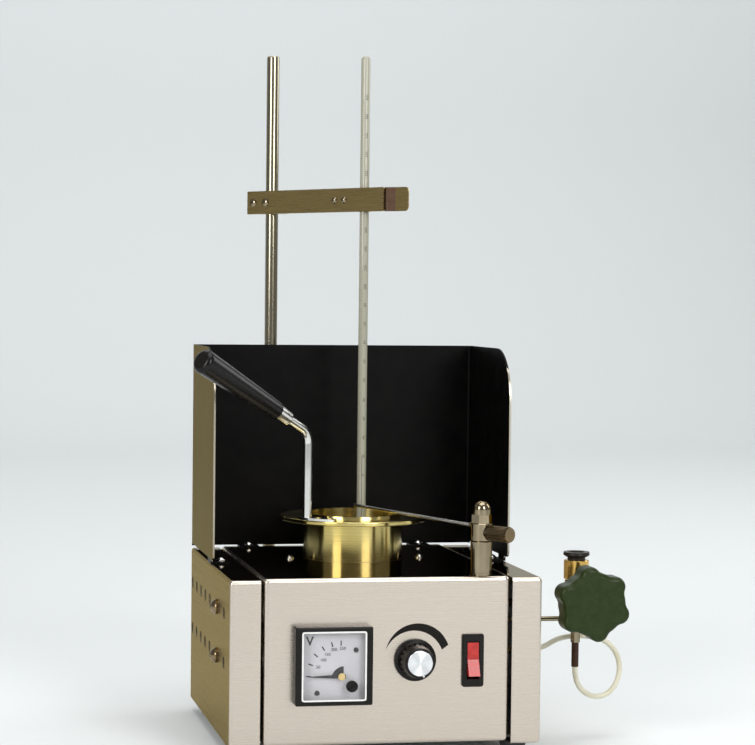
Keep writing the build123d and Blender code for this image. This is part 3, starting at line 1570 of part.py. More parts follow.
with BuildPart() as regulator_board:
    board_z = base_top + board_lift
    with BuildSketch(Plane.XY.offset(base_top)):
        with Locations((board_x, board_y)):
            with GridLocations(board_width - 6.0, board_length - 6.0, 2, 2):
                Circle(spacer_radius)
    extrude(amount=board_lift)
    with BuildSketch(Plane.XY.offset(board_z)):
        with Locations((board_x, board_y)):
            Rectangle(board_width, board_length)
    extrude(amount=board_thickness)
    # finned heat sink and a choke
    with BuildSketch(Plane.XY.offset(board_z + board_thickness)):
        with Locations((board_x, board_y - 12.0)):
            with GridLocations(4.0, 0, 5, 1):
                Rectangle(1.6, 20.0)
            with Locations((0, 0)):
                Rectangle(18.0, 3.0)
        with Locations((board_x, board_y + 14.0)):
            Circle(7.0)
    extrude(amount=16.0)
finish(regulator_board, "regulator_board")
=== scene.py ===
# %% [markdown]
# # Open-cup flash point tester
#
# The tester heats a sample of oil in an open brass cup. A thermometer hangs in the
# oil, and a small gas flame on a swinging tube passes over the cup until the vapour
# flashes. This lesson dresses the finished solids: it adds the camera, the light, the
# gas hose, the prints, and a node material for each metal, plastic and glass.
#
# The solids come from the frame and are never changed, so this first cell only loads
# them.

import math

import bmesh
import bpy
from mathutils import Matrix, Vector


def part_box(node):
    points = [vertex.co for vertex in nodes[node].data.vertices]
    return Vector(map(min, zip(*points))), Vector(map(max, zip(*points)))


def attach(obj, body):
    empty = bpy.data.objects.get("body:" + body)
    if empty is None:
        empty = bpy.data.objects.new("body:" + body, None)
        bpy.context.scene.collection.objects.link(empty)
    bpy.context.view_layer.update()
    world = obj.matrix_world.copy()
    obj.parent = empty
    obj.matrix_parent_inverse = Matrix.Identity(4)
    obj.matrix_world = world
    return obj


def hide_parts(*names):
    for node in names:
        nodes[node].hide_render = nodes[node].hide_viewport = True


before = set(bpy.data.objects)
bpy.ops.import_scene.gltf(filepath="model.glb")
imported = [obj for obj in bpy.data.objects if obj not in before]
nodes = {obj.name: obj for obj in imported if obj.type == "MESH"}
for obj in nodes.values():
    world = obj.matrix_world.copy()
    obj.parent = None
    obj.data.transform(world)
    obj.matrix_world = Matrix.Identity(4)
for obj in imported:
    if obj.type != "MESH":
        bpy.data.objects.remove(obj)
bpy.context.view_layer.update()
scene = bpy.context.scene

# %% [markdown]
# ## Camera
#
# The camera stands a little to the left and looks slightly down, from far enough for
# the upright rods to stay straight. Its three axes are worked out from a yaw, a pitch
# and a small roll, because a Track To constraint has no roll. The lens is shifted
# sideways, which moves the picture without turning the camera.

# %% Camera
def camera_axes(yaw, pitch, roll):
    """Right, up and forward of a camera that looks along +Y at yaw 0."""
    level = math.cos(pitch)
    forward = Vector((math.sin(yaw) * level, math.cos(yaw) * level, math.sin(pitch)))
    right = Vector((math.cos(yaw), -math.sin(yaw), 0))
    up = right.cross(forward)
    rolled_right = right * math.cos(roll) + up * math.sin(roll)
    rolled_up = up * math.cos(roll) - right * math.sin(roll)
    return rolled_right, rolled_up, forward


camera_place = (-0.3100, -1.4461, 0.2973)
yaw, pitch, roll = (math.radians(angle) for angle in (9.577, -2.069, 0.535))
lens = bpy.data.cameras.new("camera")
lens.lens = 104.05
lens.sensor_width = 36.0
lens.shift_x = 0.15
lens.clip_end = 30.0
camera = bpy.data.objects.new("camera", lens)
scene.collection.objects.link(camera)
right, up, forward = camera_axes(yaw, pitch, roll)
camera.matrix_world = Matrix.Translation(camera_place) @ Matrix(
    ((right.x, up.x, -forward.x), (right.y, up.y, -forward.y), (right.z, up.z, -forward.z))
).to_4x4()
scene.camera = camera
scene.view_settings.view_transform = "Standard"
print("camera at", tuple(round(v, 3) for v in camera.location))

# %% [markdown]
# ## Gas hose
#
# A limp clear hose runs from the rubber joint under the valve, round in one loose loop,
# and back into the case. Its route is a handful of points, and a NURBS curve of order 3
# draws one smooth line through the space between them. A bevel gives the line its
# thickness, and the finished tube is kept as a mesh.

# %% Gas hose
hose_diameter = 0.0036
hose_points = [
    (0.1396, -0.0450, 0.0493),
    (0.1396, -0.0450, 0.0386),
    (0.1498, -0.0440, 0.0284),
    (0.1632, -0.0426, 0.0284),
    (0.1724, -0.0410, 0.0396),
    (0.1724, -0.0394, 0.0552),
    (0.1628, -0.0374, 0.0664),
    (0.1470, -0.0358, 0.0688),
    (0.1310, -0.0358, 0.0676),
    (0.1185, -0.0360, 0.0600),
    (0.1095, -0.0360, 0.0600),
]


def drawn_mesh(drawn):
    """What a curve or a text looks like now, as a mesh."""
    return bpy.data.meshes.new_from_object(
        drawn.evaluated_get(bpy.context.evaluated_depsgraph_get())
    )


def smooth_line(name, points, radius):
    """Round tube along an open NURBS curve; returns its object and the points it follows."""
    line = bpy.data.curves.new(name + "_line", "CURVE")
    line.dimensions = "3D"
    spline = line.splines.new("NURBS")
    spline.points.add(len(points) - 1)
    for point, place in zip(spline.points, points):
        point.co = (*place, 1.0)
    spline.order_u = 3
    spline.use_endpoint_u = True
    line.resolution_u = 16
    line.use_fill_caps = True
    drawn = bpy.data.objects.new(name + "_line", line)
    scene.collection.objects.link(drawn)

    middle = [tuple(v.co) for v in drawn_mesh(drawn).vertices]
    line.bevel_depth = radius
    line.bevel_resolution = 6
    piece = bpy.data.objects.new(name, drawn_mesh(drawn))
    scene.collection.objects.link(piece)
    bpy.data.objects.remove(drawn)
    return piece, middle


hose, hose_middle = smooth_line("clear_hose", hose_points, hose_diameter / 2)
line_length = sum(math.dist(a, b) for a, b in zip(hose_middle, hose_middle[1:]))
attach(hose, "case")
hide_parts("gas_hose")
print("hose line:", round(line_length * 1000, 1), "mm, drawn from", len(hose_points), "points")

# %% [markdown]
# ## Bench and light
#
# A pale sheet runs along the floor and sweeps up behind, so there is no horizon line. Its
# wall stands far enough back for a camera to go round between the wall and the tester.
# Bare metal is only as good as what it mirrors: a few large, soft lamps give long even
# highlights, and the world gives the level between them.

# %% Bench and light
def tint(red, green, blue):
    """Colour with full alpha."""
    return (red, green, blue, 1.0)


def new_material(name):
    """Empty node material with a Principled shader; returns it with its tree and shader."""
    mat = bpy.data.materials.new(name)
    mat.use_nodes = True
    tree = mat.node_tree
    shader = tree.nodes["Principled BSDF"]
    return mat, tree, shader


def put_on(mat, *names):
    """Give a material to solids by name, in place of the one they came with."""
    for name in names:
        mesh = nodes[name].data
        mesh.materials.clear()
        mesh.materials.append(mat)


floor_front, curve_start, curve_radius, wall_top, half_width = -8.0, 2.6, 0.7, 2.8, 8.0
wall = curve_start + curve_radius
sweep_profile = [(floor_front, 0.0), (curve_start, 0.0)]
for degrees in range(9, 91, 9):
    lean = math.radians(degrees)
    sweep_profile.append(
        (curve_start + curve_radius * math.sin(lean), curve_radius * (1 - math.cos(lean)))
    )
sweep_profile.append((wall, wall_top))
sweep_mesh = bpy.data.meshes.new("sweep")
sweep_mesh.from_pydata(
    [(x, y, z) for y, z in sweep_profile for x in (-half_width, half_width)],
    [],
    [(2 * i, 2 * i + 1, 2 * i + 3, 2 * i + 2) for i in range(len(sweep_profile) - 1)],
)
sweep_mesh.shade_smooth()
sweep = bpy.data.objects.new("sweep", sweep_mesh)
scene.collection.objects.link(sweep)
paper, _, paper_shader = new_material("sweep_paper")
paper_shader.inputs["Base Color"].default_value = tint(0.755, 0.785, 0.79)
paper_shader.inputs["Roughness"].default_value = 0.9
paper_shader.inputs["Specular IOR Level"].default_value = 0.1
sweep_mesh.materials.append(paper)

world = bpy.data.worlds.new("room")
scene.world = world
world.use_nodes = True
background = world.node_tree.nodes["Background"]
background.inputs["Color"].default_value = tint(0.88, 0.88, 0.87)
background.inputs["Strength"].default_value = 0.31


def softbox(name, place, target, width, height, power):
    """Rectangular area lamp that points at a target."""
    lamp = bpy.data.lights.new(name, "AREA")
    lamp.shape = "RECTANGLE"
    lamp.size = width
    lamp.size_y = height
    lamp.energy = power
    holder = bpy.data.objects.new(name, lamp)
    scene.collection.objects.link(holder)
    holder.location = place
    holder.rotation_euler = (Vector(target) - Vector(place)).to_track_quat("-Z", "Y").to_euler()


# The two front lamps stand where the cup and the posts mirror them as two upright bands.
middle = (0.0, 0.0, 0.15)
softbox("key_left", (-1.52, -1.36, 0.95), middle, 0.75, 1.3, 22)
softbox("front_right", (0.72, -2.0, 1.0), middle, 0.75, 1.2, 22)
softbox("fill_right", (2.0, 0.40, 1.1), middle, 1.0, 1.2, 12)
softbox("overhead", (0.10, -0.40, 2.3), (0.0, -0.2, 0.0), 2.0, 1.5, 27)
softbox("wall_light", (0.6, 1.7, 3.0), (0.6, wall, 0.7), 4.0, 0.6, 44)

# %% [markdown]
# ## Helpers for node materials
#
# Most real surfaces need the same two things: a little variation in colour, and a little
# in height. Both come here from a noise texture in object coordinates. The mapping
# stretches the noise, so one helper makes cast grain, brushed streaks or mould marks.

# %% Helpers for node materials
def noise(tree, scale, stretch=(1, 1, 1), seed=0.0):
    """Noise texture in object coordinates, stretched along the axes; returns its factor.

    The seed moves the noise, so no two materials share one pattern.
    """
    place = tree.nodes.new("ShaderNodeTexCoord")
    mapping = tree.nodes.new("ShaderNodeMapping")
    mapping.inputs["Scale"].default_value = stretch
    mapping.inputs["Location"].default_value = (seed, seed * 0.7, seed * 1.3)
    texture = tree.nodes.new("ShaderNodeTexNoise")
    texture.inputs["Scale"].default_value = scale
    texture.inputs["Detail"].default_value = 3.0
    tree.links.new(place.outputs["Object"], mapping.inputs["Vector"])
    tree.links.new(mapping.outputs["Vector"], texture.inputs["Vector"])
    return texture.outputs["Fac"]


def blend_colours(tree, factor, first, second, low=0.35, high=0.65):
    """Colour ramp between two colours, driven by a factor; returns its colour."""
    ramp = tree.nodes.new("ShaderNodeValToRGB")
    ramp.color_ramp.elements[0].position = low
    ramp.color_ramp.elements[0].color = first
    ramp.color_ramp.elements[1].position = high
    ramp.color_ramp.elements[1].color = second
    tree.links.new(factor, ramp.inputs["Fac"])
    return ramp.outputs["Color"]


def spread(tree, factor, low, high):
    """Map a noise, which lies mostly between 0.3 and 0.7, onto a range; returns the value."""
    mapped = tree.nodes.new("ShaderNodeMapRange")
    mapped.inputs["From Min"].default_value = 0.3
    mapped.inputs["From Max"].default_value = 0.7
    mapped.inputs["To Min"].default_value = low
    mapped.inputs["To Max"].default_value = high
    tree.links.new(factor, mapped.inputs["Value"])
    return mapped.outputs["Result"]


def roughen(tree, shader, height, strength):
    """Drive the shader's normal with a bump, at most a fifth of a millimetre high."""
    bump = tree.nodes.new("ShaderNodeBump")
    bump.inputs["Strength"].default_value = strength
    bump.inputs["Distance"].default_value = 0.0002
    tree.links.new(height, bump.inputs["Height"])
    tree.links.new(bump.outputs["Normal"], shader.inputs["Normal"])


def halfway(places):
    """Middle of the box around some places."""
    return Vector([(min(p[i] for p in places) + max(p[i] for p in places)) / 2 for i in range(3)])


def middle_of(node):
    """Middle of a solid's box, in the shared frame."""
    solid = nodes[node]
    corners = [solid.matrix_world @ Vector(c) for c in solid.bound_box]
    return halfway(corners)


def varied(
    name, dark, light, rough=(0.3, 0.5), scale=200, stretch=(1, 1, 1),
    bump=0.2, metal=0.0, coat=0.0, specular=0.5, edge=tint(1.0, 1.0, 1.0), seed=0.0,
):
    """Material whose colour, roughness and height all follow one stretched noise.

    The edge colour only shows where the surface is seen at a grazing angle.
    """
    mat, tree, shader = new_material(name)
    grain = noise(tree, scale, stretch, seed)
    tree.links.new(blend_colours(tree, grain, dark, light), shader.inputs["Base Color"])
    tree.links.new(spread(tree, grain, *rough), shader.inputs["Roughness"])
    shader.inputs["Metallic"].default_value = metal
    shader.inputs["Coat Weight"].default_value = coat
    shader.inputs["Coat Roughness"].default_value = 0.12
    shader.inputs["Specular IOR Level"].default_value = specular
    shader.inputs["Specular Tint"].default_value = edge
    roughen(tree, shader, grain, bump)
    return mat


print("material helpers ready")

# %% [markdown]
# ## Stainless sheet
#
# The case is folded from stainless sheet. The panel and the front flanges are finely
# brushed, and the flat top is polished like a mirror. The sides are plainer. The top and
# the sides get darker copies of the same steel: a painted dark reflection on the top,
# painted shade on the sides. One solid can carry several materials, because each face
# keeps its own material index: a short rule looks at the face's normal and place and says
# which finish it gets. The sides' brown edge colour, which only shows at a grazing angle,
# is a painted reflection, so they are plain steel when looked at straight on.

# %% Stainless sheet
panel_steel = varied(
    "panel_steel", tint(0.615, 0.543, 0.468), tint(0.625, 0.552, 0.476),
    rough=(0.26, 0.28), scale=3.0, stretch=(3, 900, 900), bump=0.004, metal=1.0,
)
# The top's darker colour and its edge colour are a painted dark reflection of the black shield.
top_steel_painted_reflection = varied(
    "top_steel_painted_reflection", tint(0.36, 0.32, 0.24), tint(0.40, 0.36, 0.275),
    rough=(0.05, 0.09), scale=3.0, stretch=(6, 400, 400), bump=0.006, metal=1.0, seed=1.0,
    edge=tint(0.55, 0.50, 0.42),
)
# The sides' darker colour is painted shade, and their brown edge colour is a painted reflection.
side_steel_painted_shade = varied(
    "side_steel_painted_shade", tint(0.48, 0.435, 0.355), tint(0.50, 0.455, 0.375),
    rough=(0.24, 0.32), scale=3.0, stretch=(1400, 4, 1400), bump=0.01, metal=1.0, seed=2.0,
    edge=tint(0.44, 0.34, 0.15),
)
plain_steel = varied(
    "plain_steel", tint(0.40, 0.40, 0.40), tint(0.48, 0.48, 0.47),
    rough=(0.38, 0.5), scale=60, bump=0.08, metal=1.0, seed=4.0,
)


def put_by_face(node, finishes, rule):
    """Give a solid several materials; the rule returns an index for each of its faces."""
    mesh = nodes[node].data
    mesh.materials.clear()
    for mat in finishes:
        mesh.materials.append(mat)
    counts = [0] * len(finishes)
    for face in mesh.polygons:
        face.material_index = rule(face)
        counts[face.material_index] += 1
    return counts


# Walls of the punched vents belong to the sides: they lie this far out and behind the front.
deck_low, vent_reach, vent_front = 0.1, 0.099, -0.080


def sheet_finish(face):
    """0 for the brushed front and the bends beside it, 1 for the flat top, 2 for the sides."""
    if face.normal.z > 0.95 and face.center.z > deck_low:
        return 1
    vent = abs(face.center.x) > vent_reach and face.center.y > vent_front
    return 2 if abs(face.normal.x) > 0.9 or vent else 0


sheet_steels = (panel_steel, top_steel_painted_reflection, side_steel_painted_shade)
for name in ("centre_shell", "side_cover_left", "side_cover_right"):
    print(name, "front, top, side faces:", put_by_face(name, sheet_steels, sheet_finish))
put_on(plain_steel, "base_plate", "side_brackets", "heater_standoffs")

# %% [markdown]
# ## Draught shield
#
# The shield is one bent sheet: bare outside, black inside so that the flame shows
# against it. Every face that looks outward from the cup stays bare, and the rest, with
# the foot tabs, is painted. The bare outside is darkened as painted shade, and its brown
# edge colour is a painted reflection.

# %% Draught shield
shield_black = varied(
    "shield_black", tint(0.0014, 0.0013, 0.0013), tint(0.0030, 0.0028, 0.0026),
    rough=(0.34, 0.44), scale=90, bump=0.03, seed=5.0,
    specular=0.07,
)
# The bare outside is darker as painted shade, and its brown edge colour is a painted reflection.
shield_outside_painted_shade = varied(
    "shield_outside_painted_shade", tint(0.43, 0.39, 0.315), tint(0.45, 0.41, 0.335),
    rough=(0.26, 0.34), scale=3.0, stretch=(900, 900, 4), bump=0.01, metal=1.0, seed=6.0,
    edge=tint(0.30, 0.235, 0.10),
)
tab_top = 0.1185
cup_x, cup_y = 0.0, 0.020  # the cup's axis


def shield_finish(face):
    """0 for the bare outside, 1 for what looks towards the cup and for the foot tabs."""
    if face.center.z < tab_top or abs(face.normal.z) > 0.7:
        return 1
    outward = Vector((face.center.x - cup_x, face.center.y - cup_y, 0)).normalized()
    return 0 if face.normal.dot(outward) > 0.2 else 1


shield_sides = (shield_outside_painted_shade, shield_black)
print("bare, painted faces:", put_by_face("draught_shield", shield_sides, shield_finish))

# %% [markdown]
# ## Turned and polished metal
#
# The cup is turned brass: the lathe leaves fine rings, so the noise is read by distance
# from the cup's own axis and by height, and not along the ring. Such rings also stretch
# every highlight across them, which is what the anisotropic inputs and a radial tangent
# do. Plated fittings, screws and tubes are brighter and smoother, and the rods are ground.

# %% Turned and polished metal
def turned_noise(tree, scale):
    """Noise that only changes with the distance from the cup's axis and with height."""
    place = tree.nodes.new("ShaderNodeTexCoord")
    shift = tree.nodes.new("ShaderNodeVectorMath")
    shift.operation = "SUBTRACT"
    shift.inputs[1].default_value = (cup_x, cup_y, 0.0)
    split = tree.nodes.new("ShaderNodeSeparateXYZ")
    flat = tree.nodes.new("ShaderNodeCombineXYZ")
    length = tree.nodes.new("ShaderNodeVectorMath")
    length.operation = "LENGTH"
    joined = tree.nodes.new("ShaderNodeCombineXYZ")
    texture = tree.nodes.new("ShaderNodeTexNoise")
    texture.inputs["Scale"].default_value = scale
    texture.inputs["Detail"].default_value = 2.0
    tree.links.new(place.outputs["Object"], shift.inputs[0])
    tree.links.new(shift.outputs["Vector"], split.inputs["Vector"])
    tree.links.new(split.outputs["X"], flat.inputs["X"])
    tree.links.new(split.outputs["Y"], flat.inputs["Y"])
    tree.links.new(flat.outputs["Vector"], length.inputs[0])
    tree.links.new(length.outputs["Value"], joined.inputs["X"])
    tree.links.new(split.outputs["Z"], joined.inputs["Z"])
    tree.links.new(joined.outputs["Vector"], texture.inputs["Vector"])
    return texture.outputs["Fac"]


def turned_shine(tree, shader, axis, strength):
    """Metal whose highlights are stretched across the rings around an axis."""
    around = tree.nodes.new("ShaderNodeTangent")
    around.direction_type = "RADIAL"
    around.axis = axis
    tree.links.new(around.outputs["Tangent"], shader.inputs["Tangent"])
    shader.inputs["Metallic"].default_value = 1.0
    shader.inputs["Anisotropic"].default_value = strength
    shader.inputs["Anisotropic Rotation"].default_value = 0.25


cup_brass, tree, shader = new_material("cup_brass")
rings = turned_noise(tree, 1500)
patina = noise(tree, 35, seed=1.0)
mixed = tree.nodes.new("ShaderNodeMix")
mixed.data_type = "RGBA"
mixed.inputs["Factor"].default_value = 0.5
for socket, factor, dark, light in (
    ("A", rings, tint(0.50, 0.39, 0.12), tint(0.80, 0.67, 0.28)),
    ("B", patina, tint(0.52, 0.41, 0.13), tint(0.84, 0.72, 0.33)),
):
    tree.links.new(blend_colours(tree, factor, dark, light), mixed.inputs[socket])
tree.links.new(mixed.outputs["Result"], shader.inputs["Base Color"])
tree.links.new(spread(tree, patina, 0.14, 0.23), shader.inputs["Roughness"])
turned_shine(tree, shader, "Z", 0.7)
roughen(tree, shader, rings, 0.03)
put_on(cup_brass, "test_cup", "handle_rivets")

plated = varied(
    "plated_metal", tint(0.66, 0.65, 0.62), tint(0.76, 0.75, 0.72),
    rough=(0.12, 0.22), scale=70, bump=0.03, metal=1.0, seed=7.0,
)
put_on(plated, "flame_tube", "handle_rod", "handle_ferrule", "pan_screws")
nickel = varied(
    "warm_nickel", tint(0.25, 0.205, 0.135), tint(0.31, 0.26, 0.175),
    rough=(0.06, 0.11), scale=60, bump=0.008, metal=1.0, seed=7.5,
    edge=tint(0.20, 0.16, 0.10),
)
put_on(nickel, "flame_post", "flame_cap_nut", "valve_body", "valve_bonnet", "valve_support", "arm_screws")
bronze = varied(
    "dark_bronze", tint(0.20, 0.145, 0.08), tint(0.28, 0.21, 0.125),
    rough=(0.12, 0.2), scale=90, bump=0.04, metal=1.0, seed=7.8,
)
put_on(bronze, "cover_screws")
post_middle = middle_of("flame_post")
hub_radius = 0.0085


def hub_finish(face):
    """0 for the hub around the post, 1 for the cross knob that stands out of it."""
    away = math.hypot(face.center.x - post_middle.x, face.center.y - post_middle.y)
    return int(away > hub_radius)


print("hub, cross knob faces:", put_by_face("flame_hub", (nickel, bronze), hub_finish))
ground = varied(
    "ground_steel", tint(0.325, 0.295, 0.21), tint(0.375, 0.34, 0.25),
    rough=(0.12, 0.17), scale=3.0, stretch=(300, 300, 3), bump=0.004, metal=1.0, seed=8.0,
)
put_on(ground, "stand_rod", "valve_stem", "knob_shaft")
arm_metal = varied(
    "arm_metal", tint(0.40, 0.30, 0.125), tint(0.45, 0.34, 0.145),
    rough=(0.24, 0.30), scale=3.0, stretch=(20, 20, 900), bump=0.01, metal=1.0, seed=9.0,
)
put_on(arm_metal, "clamp_block", "arm_strip")
bend_painted_reflection = varied(
    "bend_painted_reflection", tint(0.030, 0.018, 0.012), tint(0.045, 0.028, 0.019),
    rough=(0.22, 0.3), scale=200, bump=0.01, metal=1.0, seed=9.5,
    edge=tint(0.2, 0.15, 0.1),
)
# The spring clip's bend is painted dark, as a painted reflection: its faces look ahead and a little to
# the left.
bend_normal = Vector((-0.46, -0.89, 0))
print("clip, bent faces:", put_by_face(
    "spring_clip", (arm_metal, bend_painted_reflection), lambda face: int(face.normal.dot(bend_normal) > 0.97),
))
small_brass = varied(
    "small_brass", tint(0.66, 0.47, 0.17), tint(0.82, 0.62, 0.28),
    rough=(0.2, 0.32), scale=120, bump=0.05, metal=1.0, seed=10.0,
)
put_on(small_brass, "post_nut", "gas_bulkhead", "needle_hub")
fitting_metal = varied(
    "fitting_metal", tint(0.62, 0.39, 0.10), tint(0.76, 0.50, 0.15),
    rough=(0.14, 0.24), scale=120, bump=0.05, metal=1.0, seed=11.0,
)
put_on(fitting_metal, "inlet_fitting")
copper = varied(
    "copper_pipe", tint(0.55, 0.28, 0.16), tint(0.72, 0.40, 0.25),
    rough=(0.25, 0.4), scale=90, bump=0.05, metal=1.0, seed=12.0,
)
put_on(copper, "gas_pipe")
cap_turned = varied(
    "turned_aluminium", tint(0.70, 0.70, 0.69), tint(0.82, 0.82, 0.81),
    rough=(0.2, 0.3), scale=150, bump=0.05, metal=1.0, seed=13.0,
)
put_on(cap_turned, "lower_rod_socket", "upper_rod_socket")
spun, tree, shader = new_material("spun_aluminium")
grooves = noise(tree, 260, seed=13.5)
tree.links.new(
    blend_colours(tree, grooves, tint(0.74, 0.75, 0.76), tint(0.84, 0.85, 0.86)),
    shader.inputs["Base Color"],
)
shader.inputs["Roughness"].default_value = 0.26
turned_shine(tree, shader, "Y", 0.85)
put_on(spun, "knob_cap")
hot_iron = varied(
    "hot_iron", tint(0.035, 0.032, 0.03), tint(0.07, 0.062, 0.055),
    rough=(0.5, 0.75), scale=400, bump=0.4, metal=0.6, seed=14.0,
)
put_on(hot_iron, "heating_plate", "heater_coil")
print("metals done")

# %% [markdown]
# ## Plastic, rubber, ceramic and glass
#
# Moulded plastic has a faint orange-peel surface and mirrors little, rubber is matt and
# a little uneven, and the ceramic block is chalky. The meter's window is thin
# and clean, so hardly any of it is seen. A glass stem's colour is painted darker towards
# its two edges, as painted shade where the line of sight runs along the glass.

# %% Plastic, rubber, ceramic and glass
grip_black = varied(
    "grip_black", tint(0.0040, 0.0035, 0.0032), tint(0.0080, 0.0070, 0.0065),
    rough=(0.20, 0.28), scale=500, bump=0.03, seed=15.0,
    specular=0.22,
)
put_on(grip_black, "handle_grip")
moulded_black = varied(
    "moulded_black", tint(0.0050, 0.0042, 0.0038), tint(0.0090, 0.0076, 0.0068),
    rough=(0.26, 0.38), scale=700, bump=0.08, seed=16.0,
    specular=0.2,
)
put_on(moulded_black, "meter_housing", "voltage_knob", "zero_screw", "thumb_screw", "cord_gland")
wheel_green = varied(
    "wheel_green", tint(0.015, 0.026, 0.004), tint(0.020, 0.033, 0.006),
    rough=(0.28, 0.36), scale=300, bump=0.03, seed=17.0,
    specular=0.2,
)
put_on(wheel_green, "valve_handwheel")
release_grey = varied(
    "release_grey", tint(0.016, 0.012, 0.008), tint(0.026, 0.020, 0.014),
    rough=(0.30, 0.4), scale=500, bump=0.05, seed=18.0,
    specular=0.2,
)
put_on(release_grey, "release_ring", "potentiometer")
rocker_red = varied(
    "rocker_red", tint(0.36, 0.007, 0.004), tint(0.46, 0.013, 0.007),
    rough=(0.24, 0.32), scale=250, bump=0.03, coat=0.2, seed=19.0,
)
put_on(rocker_red, "rocker")
rubber = varied(
    "soft_rubber", tint(0.018, 0.018, 0.017), tint(0.035, 0.034, 0.032),
    rough=(0.6, 0.8), scale=400, bump=0.2, seed=20.0,
)
put_on(rubber, "rubber_feet")
brown_rubber = varied(
    "brown_rubber", tint(0.040, 0.017, 0.009), tint(0.062, 0.028, 0.015),
    rough=(0.4, 0.55), scale=400, bump=0.1, seed=20.5,
    specular=0.2,
)
put_on(brown_rubber, "hose_joint")
# The dark red on the walls of the rocker's well is painted light: the glow of the red rocker.
rocker_glow_painted = varied(
    "rocker_glow_painted", tint(0.050, 0.003, 0.007), tint(0.085, 0.005, 0.011),
    rough=(0.3, 0.4), scale=300, bump=0.05, seed=19.5,
)
switch_middle = middle_of("rocker")
front_face = min(v.co.y for v in nodes["centre_shell"].data.vertices)
well_half_width, bezel_edge = 0.0045, 0.0012


def switch_finish(face):
    """1 for the walls of the well around the rocker, with the rocker's red light painted on them, 0 for
    the rest.
    """
    wall_face = abs(face.normal.y) < 0.5 and face.center.y > front_face - bezel_edge
    in_well = abs(face.center.x - switch_middle.x) < well_half_width
    looks_in = (switch_middle - face.center).dot(face.normal) > 0
    return int(wall_face and in_well and looks_in)


well_counts = put_by_face("switch_frame", (moulded_black, rocker_glow_painted), switch_finish)
print("switch frame, well faces:", well_counts)
chalk = varied(
    "ceramic_block", tint(0.62, 0.57, 0.48), tint(0.74, 0.70, 0.62),
    rough=(0.75, 0.9), scale=200, bump=0.3, seed=21.0,
)
put_on(chalk, "heater_block")
board = varied(
    "board_green", tint(0.02, 0.14, 0.05), tint(0.03, 0.19, 0.07),
    rough=(0.4, 0.55), scale=200, bump=0.1, seed=22.0,
)
put_on(board, "regulator_board")
dial_white = varied(
    "dial_white", tint(0.49, 0.475, 0.50), tint(0.52, 0.505, 0.53),
    rough=(0.5, 0.6), scale=40, bump=0.02, seed=23.0,
)
put_on(dial_white, "meter_dial")
needle_black = varied(
    "needle_black", tint(0.004, 0.004, 0.004), tint(0.008, 0.008, 0.008),
    rough=(0.5, 0.6), scale=200, bump=0.02, seed=24.0,
    specular=0.1,
)
put_on(needle_black, "meter_needle", "dial_screws")

window, _, shader = new_material("window_clear")
shader.inputs["Base Color"].default_value = tint(0.95, 0.97, 0.97)
shader.inputs["Roughness"].default_value = 0.04
shader.inputs["Alpha"].default_value = 0.03
put_on(window, "meter_window")

hose_clear, tree, shader = new_material("hose_clear")
cloud = noise(tree, 90, seed=25.0)
tree.links.new(
    blend_colours(tree, cloud, tint(0.74, 0.70, 0.53), tint(0.84, 0.81, 0.66)),
    shader.inputs["Base Color"],
)
shader.inputs["Roughness"].default_value = 0.22
shader.inputs["Transmission Weight"].default_value = 0.25
shader.inputs["IOR"].default_value = 1.4
roughen(tree, shader, cloud, 0.05)
hose.data.materials.append(hose_clear)

stem_glass, tree, shader = new_material("stem_glass")
facing = tree.nodes.new("ShaderNodeLayerWeight")
facing.inputs["Blend"].default_value = 0.35
# The edge colour is painted shade, used where the glass is seen edge-on.
stem_front, stem_edge_painted_shade = tint(0.35, 0.34, 0.265), tint(0.22, 0.21, 0.155)
tree.links.new(
    blend_colours(tree, facing.outputs["Facing"], stem_front, stem_edge_painted_shade, 0.45, 0.9),
    shader.inputs["Base Color"],
)
shader.inputs["Roughness"].default_value = 0.12
shader.inputs["Coat Weight"].default_value = 0.5
put_on(stem_glass, "thermometer_stem")
bulb_glass, _, shader = new_material("bulb_glass")
shader.inputs["Base Color"].default_value = tint(0.55, 0.55, 0.55)
shader.inputs["Metallic"].default_value = 0.9
shader.inputs["Roughness"].default_value = 0.08
put_on(bulb_glass, "thermometer_bulb")
print("plastics, rubber and glass done")

# %% [markdown]
# ## Printed marks
#
# Ink has almost no thickness, but a face that lies exactly on another flickers, and a
# loose face is no solid. So each mark is a closed sliver a twentieth of a millimetre
# thick. Straight marks come from outlines, and letters from Blender's own text object,
# which becomes a mesh and joins the rest. A longer piece is a row of equal loops of
# corners with a wall between each loop and the next, closed at both ends.

# %% Printed marks
sliver = 0.00005


def walls(marks, one, two):
    """Join two loops of corners with a ring of four-sided faces."""
    for i in range(len(one)):
        j = (i + 1) % len(one)
        marks.faces.new((one[i], one[j], two[j], two[i]))


def closed(marks, loops):
    """Add a closed piece that runs through loops of corners, given by their places."""
    rows = [[marks.verts.new(place) for place in loop] for loop in loops]
    marks.faces.new(rows[0])
    marks.faces.new(rows[-1][::-1])
    for one, two in zip(rows, rows[1:]):
        walls(marks, one, two)


def sliver_of(marks, outline, front):
    """Add a closed plate: an outline of (x, z) points, anticlockwise from the front, at one y."""
    closed(marks, [[(x, y, z) for x, z in outline] for y in (front, front + sliver)])


def bar(middle_x, middle_z, length, width, angle):
    """Outline of a short bar; the angle turns it anticlockwise from level."""
    c, s = math.cos(angle), math.sin(angle)
    u, v = length / 2, width / 2
    return [
        (middle_x + c * a - s * b, middle_z + s * a + c * b)
        for a, b in ((-u, -v), (u, -v), (u, v), (-u, v))
    ]


